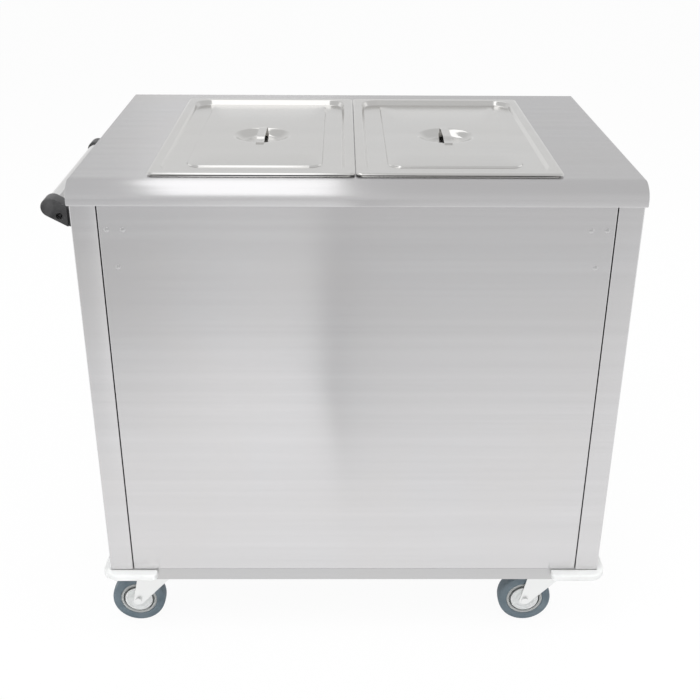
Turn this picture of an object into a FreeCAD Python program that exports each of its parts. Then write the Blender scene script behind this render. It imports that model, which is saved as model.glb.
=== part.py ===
import FreeCAD, Part
import math
import os
import Sketcher
from FreeCAD import Placement, Rotation, Vector

# Hostess trolley: a stainless heated cupboard on four castors, with a two-pan well in its top.
# Frame: +Z up with the floor at Z = 0, +X to the right seen from the guest's side, +Y away from
# the guest.  The guest's side (plain panel) faces -Y, the server's side (doors, dials) faces +Y.
# The origin is on the floor, midway between the push handle and the far bumpers.

SIZES = (
    # name, millimetres (or degrees where the name says so), what it is
    ("top_width", 895, "worktop, end to end"),
    ("top_depth", 620, "worktop, front to back"),
    ("top_height", 890, "worktop above the floor"),
    ("top_edge", 36, "height of the worktop's edge"),
    ("top_bullnose", 21, "outer radius of the rolled front and rear edges"),
    ("top_corner", 2, "rounding of the worktop's plain ends"),
    ("top_overhang", 3.5, "how far the worktop stands past the cabinet"),
    ("top_return", 14, "flange folded in under the worktop's edge"),
    ("sheet", 1.2, "stainless sheet of worktop, panels and tank"),
    ("post_width", 40.6, "end panel's return round each corner"),
    ("seam", 1.4, "open joint between front panel and returns"),
    ("panel_return", 15, "fold behind the panels' edges"),
    ("castor_height", 140, "floor to the underside of the base"),
    ("base_height", 24, "base channel"),
    ("base_sheet", 2, "steel of the base channel"),
    ("base_setback", 1, "base channel behind the panel face"),
    ("base_flange", 20, "top flange of the base channel"),
    ("well_x", -3, "middle of the pan well, along X"),
    ("well_y", -11, "middle of the pan well, along Y"),
    ("pan_width", 325, "gastronorm rim, short side"),
    ("pan_length", 530, "gastronorm rim, long side"),
    ("pan_gap", 1, "between the two pan rims"),
    ("pan_depth", 150, "pan, rim to bottom"),
    ("pan_wall", 1, "pan sheet"),
    ("pan_rim", 12.5, "width of the pan's rim"),
    ("pan_rim_corner", 10, "rim and lid corner radius"),
    ("pan_corner", 34, "corner radius of the pan's body"),
    ("pan_foot", 16, "radius round the pan's bottom"),
    ("pan_taper", 4, "draft of the pan's walls, degrees"),
    ("rim_seat", 11, "how far a rim lies on the worktop"),
    ("well_corner", 15, "corner radius of the well"),
    ("tank_depth", 190, "heated well under the worktop"),
    ("tank_flange", 12, "tank's flange under the worktop"),
    ("bar_width", 20, "bar between the pans"),
    ("bar_height", 16, "depth of that bar"),
    ("lid_height", 4.5, "lid's edge above the pan's rim"),
    ("lid_sheet", 1, "lid sheet"),
    ("lid_flange", 16, "flat round the lid's edge"),
    ("lid_channel", 52, "sunk channel along the lid's short sides"),
    ("lid_side_channel", 36, "sunk channel along its long sides"),
    ("lid_sink", 8.5, "depth of the channel"),
    ("lid_rise", 2.5, "raised middle above the channel"),
    ("lid_edge_round", 2.4, "rounding of the lid's edge"),
    ("channel_corner", 34, "outer corner radius of the channel"),
    ("deck_corner", 20, "corner radius of the raised middle"),
    ("dish_radius", 49, "finger dish in the lid"),
    ("dish_depth", 11, "depth of the dish"),
    ("dish_floor", 30, "radius of the dish's floor"),
    ("strap_width", 14, "lid's strap handle"),
    ("strap_sheet", 2, "thickness of the strap"),
    ("strap_foot", 11, "welded foot beyond the dish"),
    ("strap_rise", 6, "strap's crown above the lid"),
    ("liner_side_gap", 50, "cabinet side to the cupboard's lining"),
    ("liner_front_gap", 33, "front panel to the cupboard's lining"),
    ("liner_roof_gap", 8, "tank to the cupboard's roof"),
    ("ledge_width", 12, "shelf ledge on the lining"),
    ("shelf_height", 270, "shelf above the cupboard's floor"),
    ("shelf_fold", 20, "fold at the shelf's long edges"),
    ("shelf_gap", 2, "play round the shelf"),
    ("element_radius", 4, "tubular heating element"),
    ("element_bend", 40, "bend radius of an element"),
    ("element_lift", 14, "element above the floor under it"),
    ("well_element_width", 430, "span of the well's element"),
    ("well_element_reach", 400, "depth of the well's element"),
    ("cupboard_element_width", 320, "span of the cupboard's element"),
    ("cupboard_element_reach", 620, "length of the cupboard's element"),
    ("fascia_height", 100, "control panel"),
    ("door_thickness", 12, "double-skinned door"),
    ("door_overlap", 36, "doors lapped in the middle"),
    ("lane_gap", 0.3, "play of a door in its track"),
    ("track_rib", 1.5, "rib between the lanes"),
    ("track_lip", 8, "height of the lower ribs"),
    ("track_hood", 12, "height of the upper ribs"),
    ("track_setback", 1, "track behind the cabinet's face"),
    ("door_lift", 6, "room above a door to lift it out"),
    ("door_end_gap", 0.5, "door edge to the return beside it"),
    ("pull_width", 36, "recessed pull, along X"),
    ("pull_height", 120, "recessed pull, along Z"),
    ("pull_depth", 9, "depth of the recess"),
    ("pull_wall", 1.5, "wall of the pull"),
    ("pull_flange", 5, "flange round the pull"),
    ("pull_inset", 28, "door edge to the pull's flange"),
    ("pull_z", 520, "middle of the pulls above the floor"),
    ("knob_radius", 22, "dial knob"),
    ("knob_height", 17, "dial knob, front to back"),
    ("knob_gap", 0.4, "knob in front of the control panel"),
    ("spindle_radius", 3, "thermostat spindle"),
    ("spindle_fit", 0.05, "play between spindle and knob"),
    ("thermostat_side", 38, "thermostat body"),
    ("thermostat_depth", 30, "thermostat body, front to back"),
    ("well_dial_x", 293.4, "well's dial, in from the right end panel's return"),
    ("dial_pitch", 120, "from dial to dial, and to the switch"),
    ("dial_drop", 4, "dials under the middle of the control panel"),
    ("lamp_radius", 6, "pilot lamp lens"),
    ("lamp_offset", 40, "lamp beside its dial"),
    ("lamp_proud", 5, "lamp in front of the control panel"),
    ("switch_width", 22, "rocker switch"),
    ("switch_height", 30, "rocker switch"),
    ("switch_depth", 24, "switch body behind the panel"),
    ("switch_bezel", 2, "bezel thickness"),
    ("rocker_tilt", 8, "rocker's lean when off, degrees"),
    ("pivot_radius", 1.5, "rocker's two pivot pins"),
    ("pivot_fit", 0.05, "play round those pins"),
    ("gland_radius", 10, "supply cable's gland"),
    ("gland_x", 144, "gland, in from the cabinet's right end"),
    ("gland_proud", 14, "gland outside the base channel"),
    ("handle_reach", 61, "tube's axis outside the end panel"),
    ("handle_drop", 76.5, "tube's axis under the worktop"),
    ("handle_span", 360, "middle to middle of the brackets"),
    ("tube_radius", 12.5, "push handle tube"),
    ("tube_wall", 1.5, "push handle tube"),
    ("bracket_width", 32, "bracket, along the tube"),
    ("bracket_radius", 16, "bracket's rounded end"),
    ("bracket_cap", 6, "bracket's closed end"),
    ("bracket_foot", 8, "bracket's flange on the end panel"),
    ("bracket_base", 34, "bracket's foot under the tube's axis"),
    ("bracket_top", 6, "bracket's flange over the tube's axis"),
    ("bracket_neck", 5, "neck narrower than the arm, each side"),
    ("bracket_slope", 0.554, "fall of the arm for each millimetre in"),
    ("socket_radius", 5.5, "screw socket in the bracket"),
    ("socket_depth", 5, "screw socket in the bracket"),
    ("socket_shift", 14, "socket from the tube's axis, in and down"),
    ("bumper_proud", 18, "bumper in front of and behind the cabinet"),
    ("bumper_end_proud", 14, "bumper outside the cabinet's ends"),
    ("bumper_height", 13, "corner bumper"),
    ("bumper_drop", 1.5, "bumper under the cabinet's panels"),
    ("bumper_front", 104, "bumper's long wing, along X"),
    ("bumper_side", 65, "bumper's short wing, along Y"),
    ("bumper_corner", 30, "bumper's outer corner radius"),
    ("bumper_nose", 8, "rounded ends of a bumper's wings"),
    ("bumper_sink", 3, "sunk seat of a bumper's screw"),
    ("castor_inset_x", 74, "cabinet end to the swivel axis"),
    ("castor_inset_y", 69.5, "cabinet front or back to the swivel axis"),
    ("castor_trail", 42, "swivel axis to the axle"),
    ("wheel_radius", 50, "castor tyre"),
    ("tyre_width", 28, "castor tyre"),
    ("tyre_shoulder", 4, "rounding of the tyre's tread"),
    ("rim_radius", 34.3, "rim under the tyre"),
    ("rim_recess", 28, "rim's dished middle"),
    ("guard_radius", 26, "thread guard disc"),
    ("guard_sheet", 1.6, "thread guard disc"),
    ("axle_radius", 4, "axle bolt"),
    ("axle_fit", 0.06, "play between axle and hub"),
    ("axle_head", 6.5, "axle bolt's head and nut"),
    ("head_height", 4, "axle bolt's head and nut"),
    ("fork_sheet", 2.6, "pressed steel fork"),
    ("fork_half_gap", 15.4, "wheel's middle to a fork leg"),
    ("fork_crown", 35, "half width of the fork's crown"),
    ("fork_toe", 11, "radius round the axle"),
    ("crown_drop", 13, "base underside to the fork's crown"),
    ("swivel_gap", 0.3, "fork to bearing"),
    ("kingpin_radius", 6, "kingpin"),
    ("kingpin_fit", 0.06, "play between kingpin and crown"),
    ("kingpin_head", 11, "kingpin's riveted head"),
    ("race_radius", 27, "swivel bearing"),
    ("plate_x", 100, "castor plate"),
    ("plate_y", 85, "castor plate"),
    ("plate_sheet", 3, "castor plate"),
    ("bolt_pitch_x", 80, "castor bolts"),
    ("bolt_pitch_y", 60, "castor bolts"),
    ("bolt_radius", 4, "castor bolts"),
    ("bolt_head", 6.5, "castor bolts' heads"),
    ("pedal_pivot", 26, "brake pivot behind the swivel axis"),
    ("pedal_height", 110, "brake pivot above the floor"),
    ("pedal_reach", 104, "brake pedal's tip behind the swivel axis"),
    ("pedal_width", 27, "brake pedal"),
    ("pedal_sheet", 2.6, "brake pedal"),
    ("pedal_pin", 2.5, "brake pedal's pin"),
    ("rivet_radius", 4.2, "dome rivets"),
    ("rivet_height", 2, "dome rivets"),
    ("rivet_drop", 74.5, "upper rivets under the worktop"),
    ("rivet_step", 62, "upper rivets to the lower one"),
    ("rivet_inset", 67, "cabinet end to the lower rivet"),
    ("rivet_pitch", 25, "between the upper rivets"),
    ("screw_radius", 3.6, "pan-head screws"),
    ("screw_height", 2.2, "pan-head screws"),
)

doc = FreeCAD.newDocument("hostess_trolley")
sheet_object = doc.addObject("Spreadsheet::Sheet", "dims")
nodes = {}


class Size:
    """A length with the spreadsheet formula that gives it, so that both stay together."""

    def __init__(self, value, formula):
        self.value = value
        self.formula = formula

    def __add__(self, other):
        other = as_size(other)
        return Size(self.value + other.value, f"({self.formula} + {other.formula})")

    def __sub__(self, other):
        other = as_size(other)
        return Size(self.value - other.value, f"({self.formula} - {other.formula})")

    def __mul__(self, other):
        other = as_size(other)
        return Size(self.value * other.value, f"({self.formula} * {other.formula})")

    def __truediv__(self, other):
        other = as_size(other)
        return Size(self.value / other.value, f"({self.formula} / {other.formula})")

    def __neg__(self):
        return self * -1

    def __radd__(self, other):
        return as_size(other) + self

    def __rsub__(self, other):
        return as_size(other) - self

    def __rmul__(self, other):
        return as_size(other) * self


class Sizes:
    """The spreadsheet's cells by name."""


def as_size(thing):
    if isinstance(thing, Size):
        return thing
    return Size(float(thing), f"({thing:g})")


def fill_sheet():
    cells = Sizes()
    for row, (name, number, note) in enumerate(SIZES, start=1):
        sheet_object.set(f"A{row}", name)
        sheet_object.set(f"B{row}", str(number))
        sheet_object.set(f"C{row}", note)
        sheet_object.setAlias(f"B{row}", name)
        setattr(cells, name, Size(float(number), f"dims.{name}"))
    doc.recompute()
    return cells


d = fill_sheet()

# ---------------------------------------------------------------- shared places
cab_x = (d.top_width / 2) - d.top_overhang
cab_y = (d.top_depth / 2) - d.top_overhang
middle_x = (d.handle_reach + d.bracket_radius - d.bumper_end_proud) / 2
panel_z = d.castor_height + d.base_height
edge_z = d.top_height - d.top_edge
pan_pitch = d.pan_width + d.pan_gap
well_width = pan_pitch + d.pan_width - 2 * d.rim_seat
well_length = d.pan_length - 2 * d.rim_seat
tank_z = d.top_height - d.sheet - d.tank_depth
liner_z = tank_z - d.liner_roof_gap
liner_x = cab_x - d.liner_side_gap
fascia_z = edge_z - d.fascia_height
return_x = cab_x - d.post_width
track_y = cab_y - d.track_setback
lane = d.door_thickness + 2 * d.lane_gap
track_depth = 2 * lane + 3 * d.track_rib
track_floor_z = panel_z + 2 * d.sheet
door_z = track_floor_z + d.lane_gap
door_top = fascia_z - d.sheet - d.door_lift
dial_z = edge_z - d.fascia_height / 2 - d.dial_drop
fork_top = d.castor_height - d.crown_drop
gland_place = cab_x - d.gland_x


def bind(thing, name, size):
    thing.setExpression(name, as_size(size).formula)


def place(thing, x, y, z, rotation=None):
    """Put a piece at a point counted from the middle of the cabinet."""
    if rotation is not None:
        thing.Placement = Placement(Vector(0, 0, 0), rotation)
    bind(thing, "Placement.Base.x", as_size(x) + middle_x)
    bind(thing, "Placement.Base.y", y)
    bind(thing, "Placement.Base.z", z)
    return thing


def finish(name, thing):
    """Give a finished piece its name and list it for writing."""
    thing.Label = name
    nodes[name] = thing
    return thing


# ---------------------------------------------------------------- solids from simple forms
TO_Y = Rotation(Vector(1, 0, 0), -90)
TO_FRONT = Rotation(Vector(1, 0, 0), 90)
TO_LEFT = Rotation(Vector(0, 1, 0), -90)
TO_RIGHT = Rotation(Vector(0, 1, 0), 90)


def box(x_from, y_from, z_from, x_to, y_to, z_to):
    """A block between two corners, counted from the middle of the cabinet."""
    block = doc.addObject("Part::Box", "block")
    bind(block, "Length", as_size(x_to) - x_from)
    bind(block, "Width", as_size(y_to) - y_from)
    bind(block, "Height", as_size(z_to) - z_from)
    return place(block, x_from, y_from, z_from)


def rod(radius, length, x, y, z, rotation=None):
    """A cylinder, upright unless it is turned to run along Y."""
    bar = doc.addObject("Part::Cylinder", "rod")
    bind(bar, "Radius", radius)
    bind(bar, "Height", length)
    return place(bar, x, y, z, rotation)


def cut(base, *tools):
    result = base
    for tool in tools:
        step = doc.addObject("Part::Cut", "cut")
        step.Base = result
        step.Tool = tool
        result = step
    return result


def fuse(*pieces):
    joined = doc.addObject("Part::MultiFuse", "joined")
    joined.Shapes = list(pieces)
    joined.Refine = True
    return joined


def group(*pieces):
    bundle = doc.addObject("Part::Compound", "bundle")
    bundle.Links = list(pieces)
    return bundle


def dome(radius, height, shank, x, y, z, rotation):
    """A domed head that rises along the turned Z axis, with a shank of the given length."""
    crown = (radius.value ** 2 + height.value ** 2) / (2 * height.value)
    half = math.asin(radius.value / crown) / 2
    centre = height.value - crown
    top = Vector(0, 0, height.value)
    rim = Vector(radius.value, 0, 0)
    bulge = Vector(crown * math.sin(half), 0, centre + crown * math.cos(half))
    outline = [Vector(0, 0, 0), rim]
    if shank is not None:
        stem = radius.value / 2
        outline = [Vector(0, 0, -shank.value), Vector(stem, 0, -shank.value),
                   Vector(stem, 0, 0), rim]
    edges = [Part.makeLine(start, end) for start, end in zip(outline, outline[1:])]
    edges.append(Part.Arc(rim, bulge, top).toShape())
    edges.append(Part.makeLine(top, outline[0]))
    head = doc.addObject("Part::Feature", "head")
    face = Part.Face(Part.Wire(edges))
    head.Shape = face.revolve(Vector(0, 0, 0), Vector(0, 0, 1), 360)
    return place(head, x, y, z, rotation)


# ---------------------------------------------------------------- bodies from sketches
def new_body(x, y, z, rotation=None):
    body = doc.addObject("PartDesign::Body", "body")
    return place(body, x, y, z, rotation)


def new_sketch(body, plane, offset=0, shift_x=0, shift_y=0):
    """A sketch on one of the body's own planes, moved along that plane's normal and in it."""
    sketch = body.newObject("Sketcher::SketchObject", "sketch")
    roles = {feature.Role: feature for feature in body.Origin.OriginFeatures}
    sketch.AttachmentSupport = [(roles[plane], "")]
    sketch.MapMode = "FlatFace"
    bind(sketch, "AttachmentOffset.Base.x", shift_x)
    bind(sketch, "AttachmentOffset.Base.y", shift_y)
    bind(sketch, "AttachmentOffset.Base.z", offset)
    return sketch


def pin(sketch, geometry, vertex, x, y):
    """Hold a point by its two distances from the sketch's origin."""
    for kind, size in (("DistanceX", as_size(x)), ("DistanceY", as_size(y))):
        rule = Sketcher.Constraint(kind, -1, 1, geometry, vertex, size.value)
        number = sketch.addConstraint(rule)
        sketch.setExpression(f"Constraints[{number}]", size.formula)


def hold_radius(sketch, geometry, radius):
    number = sketch.addConstraint(Sketcher.Constraint("Radius", geometry, radius.value))
    sketch.setExpression(f"Constraints[{number}]", radius.formula)


def polygon(sketch, points):
    corners = [(as_size(x), as_size(y)) for x, y in points]
    first = sketch.GeometryCount
    for index, (x, y) in enumerate(corners):
        next_x, next_y = corners[(index + 1) % len(corners)]
        start = Vector(x.value, y.value, 0)
        end = Vector(next_x.value, next_y.value, 0)
        sketch.addGeometry(Part.LineSegment(start, end), False)
    for index, (x, y) in enumerate(corners):
        following = first + (index + 1) % len(corners)
        sketch.addConstraint(Sketcher.Constraint("Coincident", first + index, 2, following, 1))
        pin(sketch, first + index, 1, x, y)
    return sketch


def rectangle(sketch, width, height):
    x = width / 2
    y = height / 2
    return polygon(sketch, [(-x, -y), (x, -y), (x, y), (-x, y)])


def circle(sketch, radius, x=0, y=0):
    x, y, radius = as_size(x), as_size(y), as_size(radius)
    ring = Part.Circle(Vector(x.value, y.value, 0), Vector(0, 0, 1), radius.value)
    number = sketch.addGeometry(ring, False)
    pin(sketch, number, 3, x, y)
    hold_radius(sketch, number, radius)
    return sketch


def rounded(sketch, width, height, radius):
    """A rectangle about the sketch's origin with four round corners."""
    x, y, radius = width / 2, height / 2, as_size(radius)
    ends = []
    for along_x, along_y in ((1, -1), (1, 1), (-1, 1), (-1, -1)):
        side = (along_x * x, along_y * (y - radius))
        edge = (along_x * (x - radius), along_y * y)
        ends.append((edge, side) if along_x * along_y < 0 else (side, edge))
    first = sketch.GeometryCount
    for index, (start, end) in enumerate(ends):
        sketch.addGeometry(corner_arc(index, start, end, radius), False)
    for index in range(4):
        start = ends[index][1]
        end = ends[(index + 1) % 4][0]
        line = Part.LineSegment(flat(start), flat(end))
        number = sketch.addGeometry(line, False)
        pin(sketch, number, 1, *start)
        pin(sketch, number, 2, *end)
        after = first + (index + 1) % 4
        sketch.addConstraint(Sketcher.Constraint("Coincident", first + index, 2, number, 1))
        sketch.addConstraint(Sketcher.Constraint("Coincident", after, 1, number, 2))
    for index in range(4):
        hold_radius(sketch, first + index, radius)
    return sketch


def flat(point):
    return Vector(point[0].value, point[1].value, 0)


def corner_arc(index, start, end, radius):
    """A quarter turn from start to end; the first corner is at the lower right."""
    begin = math.radians(-90 + 90 * index)
    first = flat(start)
    centre = first - Vector(math.cos(begin), math.sin(begin), 0) * radius.value
    ring = Part.Circle(centre, Vector(0, 0, 1), radius.value)
    return Part.ArcOfCircle(ring, begin, begin + math.pi / 2)


def extrude(body, kind, sketch, length, forward, taper=None):
    """Pad or pocket a sketch; forward means along the sketch plane's normal."""
    feature = body.newObject(f"PartDesign::{kind}", kind.lower())
    feature.Profile = sketch
    bind(feature, "Length", length)
    feature.Reversed = forward == (kind == "Pocket")
    if taper is not None:
        bind(feature, "TaperAngle", taper)
    sketch.Visibility = False
    body.Tip = feature
    doc.recompute()
    return feature


def pad(body, sketch, length, forward=True, taper=None):
    return extrude(body, "Pad", sketch, length, forward, taper)


def pocket(body, sketch, length, forward=False, taper=None):
    before = body.Shape.Volume
    feature = extrude(body, "Pocket", sketch, length, forward, taper)
    if not body.Shape.Volume < before:
        raise RuntimeError(f"{body.Name}: a pocket cut nothing")
    return feature


def revolve(body, sketch, kind="Revolution"):
    """Turn a sketch once round its own vertical axis, to add it or (Groove) to cut it."""
    feature = body.newObject(f"PartDesign::{kind}", kind.lower())
    feature.Profile = sketch
    feature.ReferenceAxis = (sketch, ["V_Axis"])
    feature.Angle = 360
    body.Tip = feature
    doc.recompute()
    return feature


def round_edges(body, radius, wanted):
    """Fillet the edges of the body's last feature that the test picks."""
    base = body.Tip
    names = []
    for number, edge in enumerate(base.Shape.Edges, start=1):
        if wanted(edge):
            names.append(f"Edge{number}")
    if not names:
        raise RuntimeError(f"{body.Name}: no edge to round")
    feature = body.newObject("PartDesign::Fillet", "rounding")
    feature.Base = (base, names)
    bind(feature, "Radius", radius)
    body.Tip = feature
    doc.recompute()
    return feature


def at_height(z, spread=1e-4):
    """Picks level edges at a height in the body's own frame."""
    def test(edge):
        limits = edge.BoundBox
        return abs(limits.ZMin - z) < spread and abs(limits.ZMax - z) < spread
    return test


def long_edges_at(z, spread=1e-4):
    """Picks level edges that run along X, at a height in the body's own frame."""
    level = at_height(z, spread)

    def test(edge):
        return level(edge) and edge.BoundBox.YLength < spread
    return test


def round_the_ends(half_length, spread=1e-4):
    """Picks the edges of both end faces, apart from the lowest one of each."""
    def test(edge):
        limits = edge.BoundBox
        on_end = limits.XLength < spread and abs(abs(limits.XMin) - half_length) < spread
        return on_end and limits.ZMax > spread
    return test


def upright(edge):
    """Picks straight edges that run along Z."""
    return edge.BoundBox.ZLength > edge.BoundBox.DiagonalLength - 1e-6


# ---------------------------------------------------------------- cabinet
def sides(side, inner, outer):
    """The lower and upper coordinate of a span that is mirrored by side (-1 or 1)."""
    if side < 0:
        return -outer, -inner
    return inner, outer


def worktop():
    """Top with rolled long edges, plain ends, an opening for both pans and a flange below."""
    body = new_body(0, 0, edge_z)
    slab = rectangle(new_sketch(body, "XY_Plane"), d.top_width, d.top_depth)
    pad(body, slab, d.top_edge)
    inner_width = d.top_width - 2 * d.sheet
    inner_depth = d.top_depth - 2 * d.sheet
    inner_height = d.top_edge - d.sheet
    hollow = rectangle(new_sketch(body, "XY_Plane"), inner_width, inner_depth)
    pocket(body, hollow, inner_height, forward=True)
    round_edges(body, d.top_bullnose - d.sheet, long_edges_at(inner_height.value))
    round_edges(body, d.top_bullnose, long_edges_at(d.top_edge.value))
    round_edges(body, d.top_corner, round_the_ends(d.top_width.value / 2))
    opening = new_sketch(body, "XY_Plane", d.top_edge, d.well_x, d.well_y)
    pocket(body, rounded(opening, well_width, well_length, d.well_corner), 2 * d.sheet)
    flange = rounded(new_sketch(body, "XY_Plane"), d.top_width, d.top_depth, d.top_corner)
    rectangle(flange, inner_width - 2 * d.top_return, inner_depth - 2 * d.top_return)
    pad(body, flange, d.sheet)
    return finish("worktop", body)


def folded_panel(side, half_width, z_from, z_to):
    """A flat panel on the cabinet's face at side * Y, with its four edges folded inwards."""
    face = box(-half_width, sides(side, cab_y - d.panel_return, cab_y)[0], z_from,
               half_width, sides(side, cab_y - d.panel_return, cab_y)[1], z_to)
    inside = sides(side, cab_y - 2 * d.panel_return, cab_y - d.sheet)
    hollow = box(-half_width + d.sheet, inside[0], z_from + d.sheet,
                 half_width - d.sheet, inside[1], z_to - d.sheet)
    return cut(face, hollow)


def rivet_places():
    """X and Z of the dome rivets: two in a row and one below, near both ends of the panel."""
    upper_z = d.top_height - d.rivet_drop
    for side in (-1, 1):
        x = side * (cab_x - d.rivet_inset)
        yield x - d.rivet_pitch / 2, upper_z
        yield x + d.rivet_pitch / 2, upper_z
        yield x, upper_z - d.rivet_step


def front_panel():
    panel = folded_panel(-1, return_x - d.seam, panel_z, edge_z)
    holes = [rod(d.rivet_radius / 2, 2 * d.sheet, x, -cab_y - d.sheet / 2, z, TO_Y)
             for x, z in rivet_places()]
    finish("front_panel", cut(panel, *holes))
    heads = [dome(d.rivet_radius, d.rivet_height, d.sheet, x, -cab_y, z, TO_FRONT)
             for x, z in rivet_places()]
    finish("panel_rivets", group(*heads))


def end_panel(name, side):
    """A panel wrapped round both corners of the cabinet's end, its free edges folded in."""
    x_from, x_to = sides(side, return_x, cab_x)
    shell = box(x_from, -cab_y, panel_z, x_to, cab_y, edge_z)
    hollow = box(x_from + d.sheet, -cab_y + d.sheet, panel_z - d.sheet,
                 x_to - d.sheet, cab_y - d.sheet, edge_z + d.sheet)
    open_from, open_to = sides(side, return_x - d.sheet, return_x + 2 * d.sheet)
    doorway = box(open_from, -cab_y + d.panel_return, panel_z - d.sheet,
                  open_to, cab_y - d.panel_return, edge_z + d.sheet)
    finish(name, cut(shell, hollow, doorway))


def base_frame():
    """Closed-bottomed base channel with a top flange, drilled for the castors' bolts."""
    x = cab_x - d.base_setback
    y = cab_y - d.base_setback
    wall = d.base_sheet
    shell = box(-x, -y, d.castor_height, x, y, panel_z)
    cavity = box(-x + wall, -y + wall, d.castor_height + wall,
                 x - wall, y - wall, panel_z - wall)
    mouth = box(-x + d.base_flange, -y + d.base_flange, panel_z - 2 * wall,
                x - d.base_flange, y - d.base_flange, panel_z + wall)
    holes = [rod(bolt_hole, 3 * wall, bolt_x, bolt_y, d.castor_height - wall)
             for bolt_x, bolt_y in bolt_places()]
    gland_z = d.castor_height + d.base_height / 2
    entry = rod(d.gland_radius, 3 * wall, gland_place, y - 2 * wall, gland_z, TO_Y)
    finish("base_frame", cut(shell, cavity, mouth, entry, *holes))


def cable_gland():
    """Gland on the back of the base channel, with the empty hole for the supply cable."""
    y = cab_y - d.base_setback
    z = d.castor_height + d.base_height / 2
    inside = 3 * d.base_sheet
    stem = rod(d.gland_radius, d.gland_proud + inside, gland_place, y - inside, z, TO_Y)
    collar = rod(d.gland_radius * 1.15, d.gland_proud / 2, gland_place, y, z, TO_Y)
    passage = rod(d.gland_radius * 0.4, d.gland_proud + 3 * inside, gland_place,
                  y - 2 * inside, z, TO_Y)
    finish("cable_gland", cut(fuse(stem, collar), passage))


# ---------------------------------------------------------------- well and pans
def well_tank():
    """Dry-heated well hung by its flange under the worktop's opening."""
    body = new_body(d.well_x, d.well_y, tank_z)
    outer_width = well_width + 2 * d.sheet
    outer_length = well_length + 2 * d.sheet
    block = new_sketch(body, "XY_Plane")
    pad(body, rounded(block, outer_width, outer_length, d.well_corner + d.sheet), d.tank_depth)
    flange = new_sketch(body, "XY_Plane", d.tank_depth - d.sheet)
    rounded(flange, well_width + 2 * d.tank_flange, well_length + 2 * d.tank_flange,
            d.well_corner + d.tank_flange)
    pad(body, flange, d.sheet)
    hollow = new_sketch(body, "XY_Plane", d.tank_depth)
    pocket(body, rounded(hollow, well_width, well_length, d.well_corner), d.tank_depth - d.sheet)
    finish("well_tank", body)


def support_bar():
    """Inverted channel across the well; the two inner pan rims lie on it."""
    half = d.bar_width / 2
    y_from = d.well_y - well_length / 2
    y_to = d.well_y + well_length / 2
    z = d.top_height - d.bar_height
    bar = box(d.well_x - half, y_from, z, d.well_x + half, y_to, d.top_height)
    groove = box(d.well_x - half + d.sheet, y_from - 1, z - 1,
                 d.well_x + half - d.sheet, y_to + 1, d.top_height - d.sheet)
    finish("pan_support_bar", cut(bar, groove))


def pan(name, side):
    """Gastronorm pan: a flat rim round a deep tapered body with a rounded bottom."""
    body = new_body(d.well_x + side * pan_pitch / 2, d.well_y, d.top_height)
    rim_z = d.pan_wall
    width = d.pan_width - 2 * d.pan_rim
    length = d.pan_length - 2 * d.pan_rim
    outside = rounded(new_sketch(body, "XY_Plane", rim_z), width, length, d.pan_corner)
    pad(body, outside, d.pan_depth, forward=False, taper=-d.pan_taper)
    rim = rounded(new_sketch(body, "XY_Plane"), d.pan_width, d.pan_length, d.pan_rim_corner)
    pad(body, rim, rim_z)
    inside = rounded(new_sketch(body, "XY_Plane", rim_z), width - 2 * d.pan_wall,
                     length - 2 * d.pan_wall, d.pan_corner - d.pan_wall)
    floor = d.pan_depth - d.pan_wall
    pocket(body, inside, floor, taper=-d.pan_taper)
    round_edges(body, d.pan_foot - d.pan_wall, at_height((rim_z - floor).value))
    round_edges(body, d.pan_foot, at_height((rim_z - d.pan_depth).value))
    finish(name, body)


lid_z = d.top_height + d.pan_wall
lid_deck = d.lid_height - d.lid_sink + d.lid_rise


def lid(name, side):
    """Pressed lid: edge, flat, sunk channel, raised middle and a round finger dish."""
    body = new_body(d.well_x + side * pan_pitch / 2, d.well_y, lid_z)
    thick = d.lid_sheet
    width, length = d.pan_width, d.pan_length
    edge = rounded(new_sketch(body, "XY_Plane"), width, length, d.pan_rim_corner)
    pad(body, edge, d.lid_height)
    round_edges(body, d.lid_edge_round, at_height(d.lid_height.value))
    under = rounded(new_sketch(body, "XY_Plane"), width - 2 * thick, length - 2 * thick,
                    d.pan_rim_corner - thick)
    pocket(body, under, d.lid_height - thick, forward=True)
    inset = 2 * d.lid_flange
    trough = new_sketch(body, "XY_Plane", d.lid_height - thick)
    rounded(trough, width - inset + 2 * thick, length - inset + 2 * thick,
            d.channel_corner + thick)
    pad(body, trough, d.lid_sink, forward=False)
    sunk = rounded(new_sketch(body, "XY_Plane", d.lid_height), width - inset, length - inset,
                   d.channel_corner)
    pocket(body, sunk, d.lid_sink)
    deck_width = width - inset - 2 * d.lid_side_channel
    deck_length = length - inset - 2 * d.lid_channel
    deck = new_sketch(body, "XY_Plane", d.lid_height - d.lid_sink)
    pad(body, rounded(deck, deck_width, deck_length, d.deck_corner), d.lid_rise)
    hollow = new_sketch(body, "XY_Plane", d.lid_height - d.lid_sink - thick)
    rounded(hollow, deck_width - 2 * thick, deck_length - 2 * thick, d.deck_corner - thick)
    pocket(body, hollow, d.lid_rise, forward=True)
    floor = lid_deck - d.dish_depth
    bowl = new_sketch(body, "XZ_Plane")
    polygon(bowl, [(0, floor - thick), (d.dish_floor, floor - thick),
                   (d.dish_radius + thick, lid_deck - thick), (0, lid_deck - thick)])
    revolve(body, bowl)
    bite = new_sketch(body, "XZ_Plane")
    polygon(bite, [(0, floor), (d.dish_floor, floor), (d.dish_radius, lid_deck),
                   (0, lid_deck)])
    revolve(body, bite, "Groove")
    finish(name, body)


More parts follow.
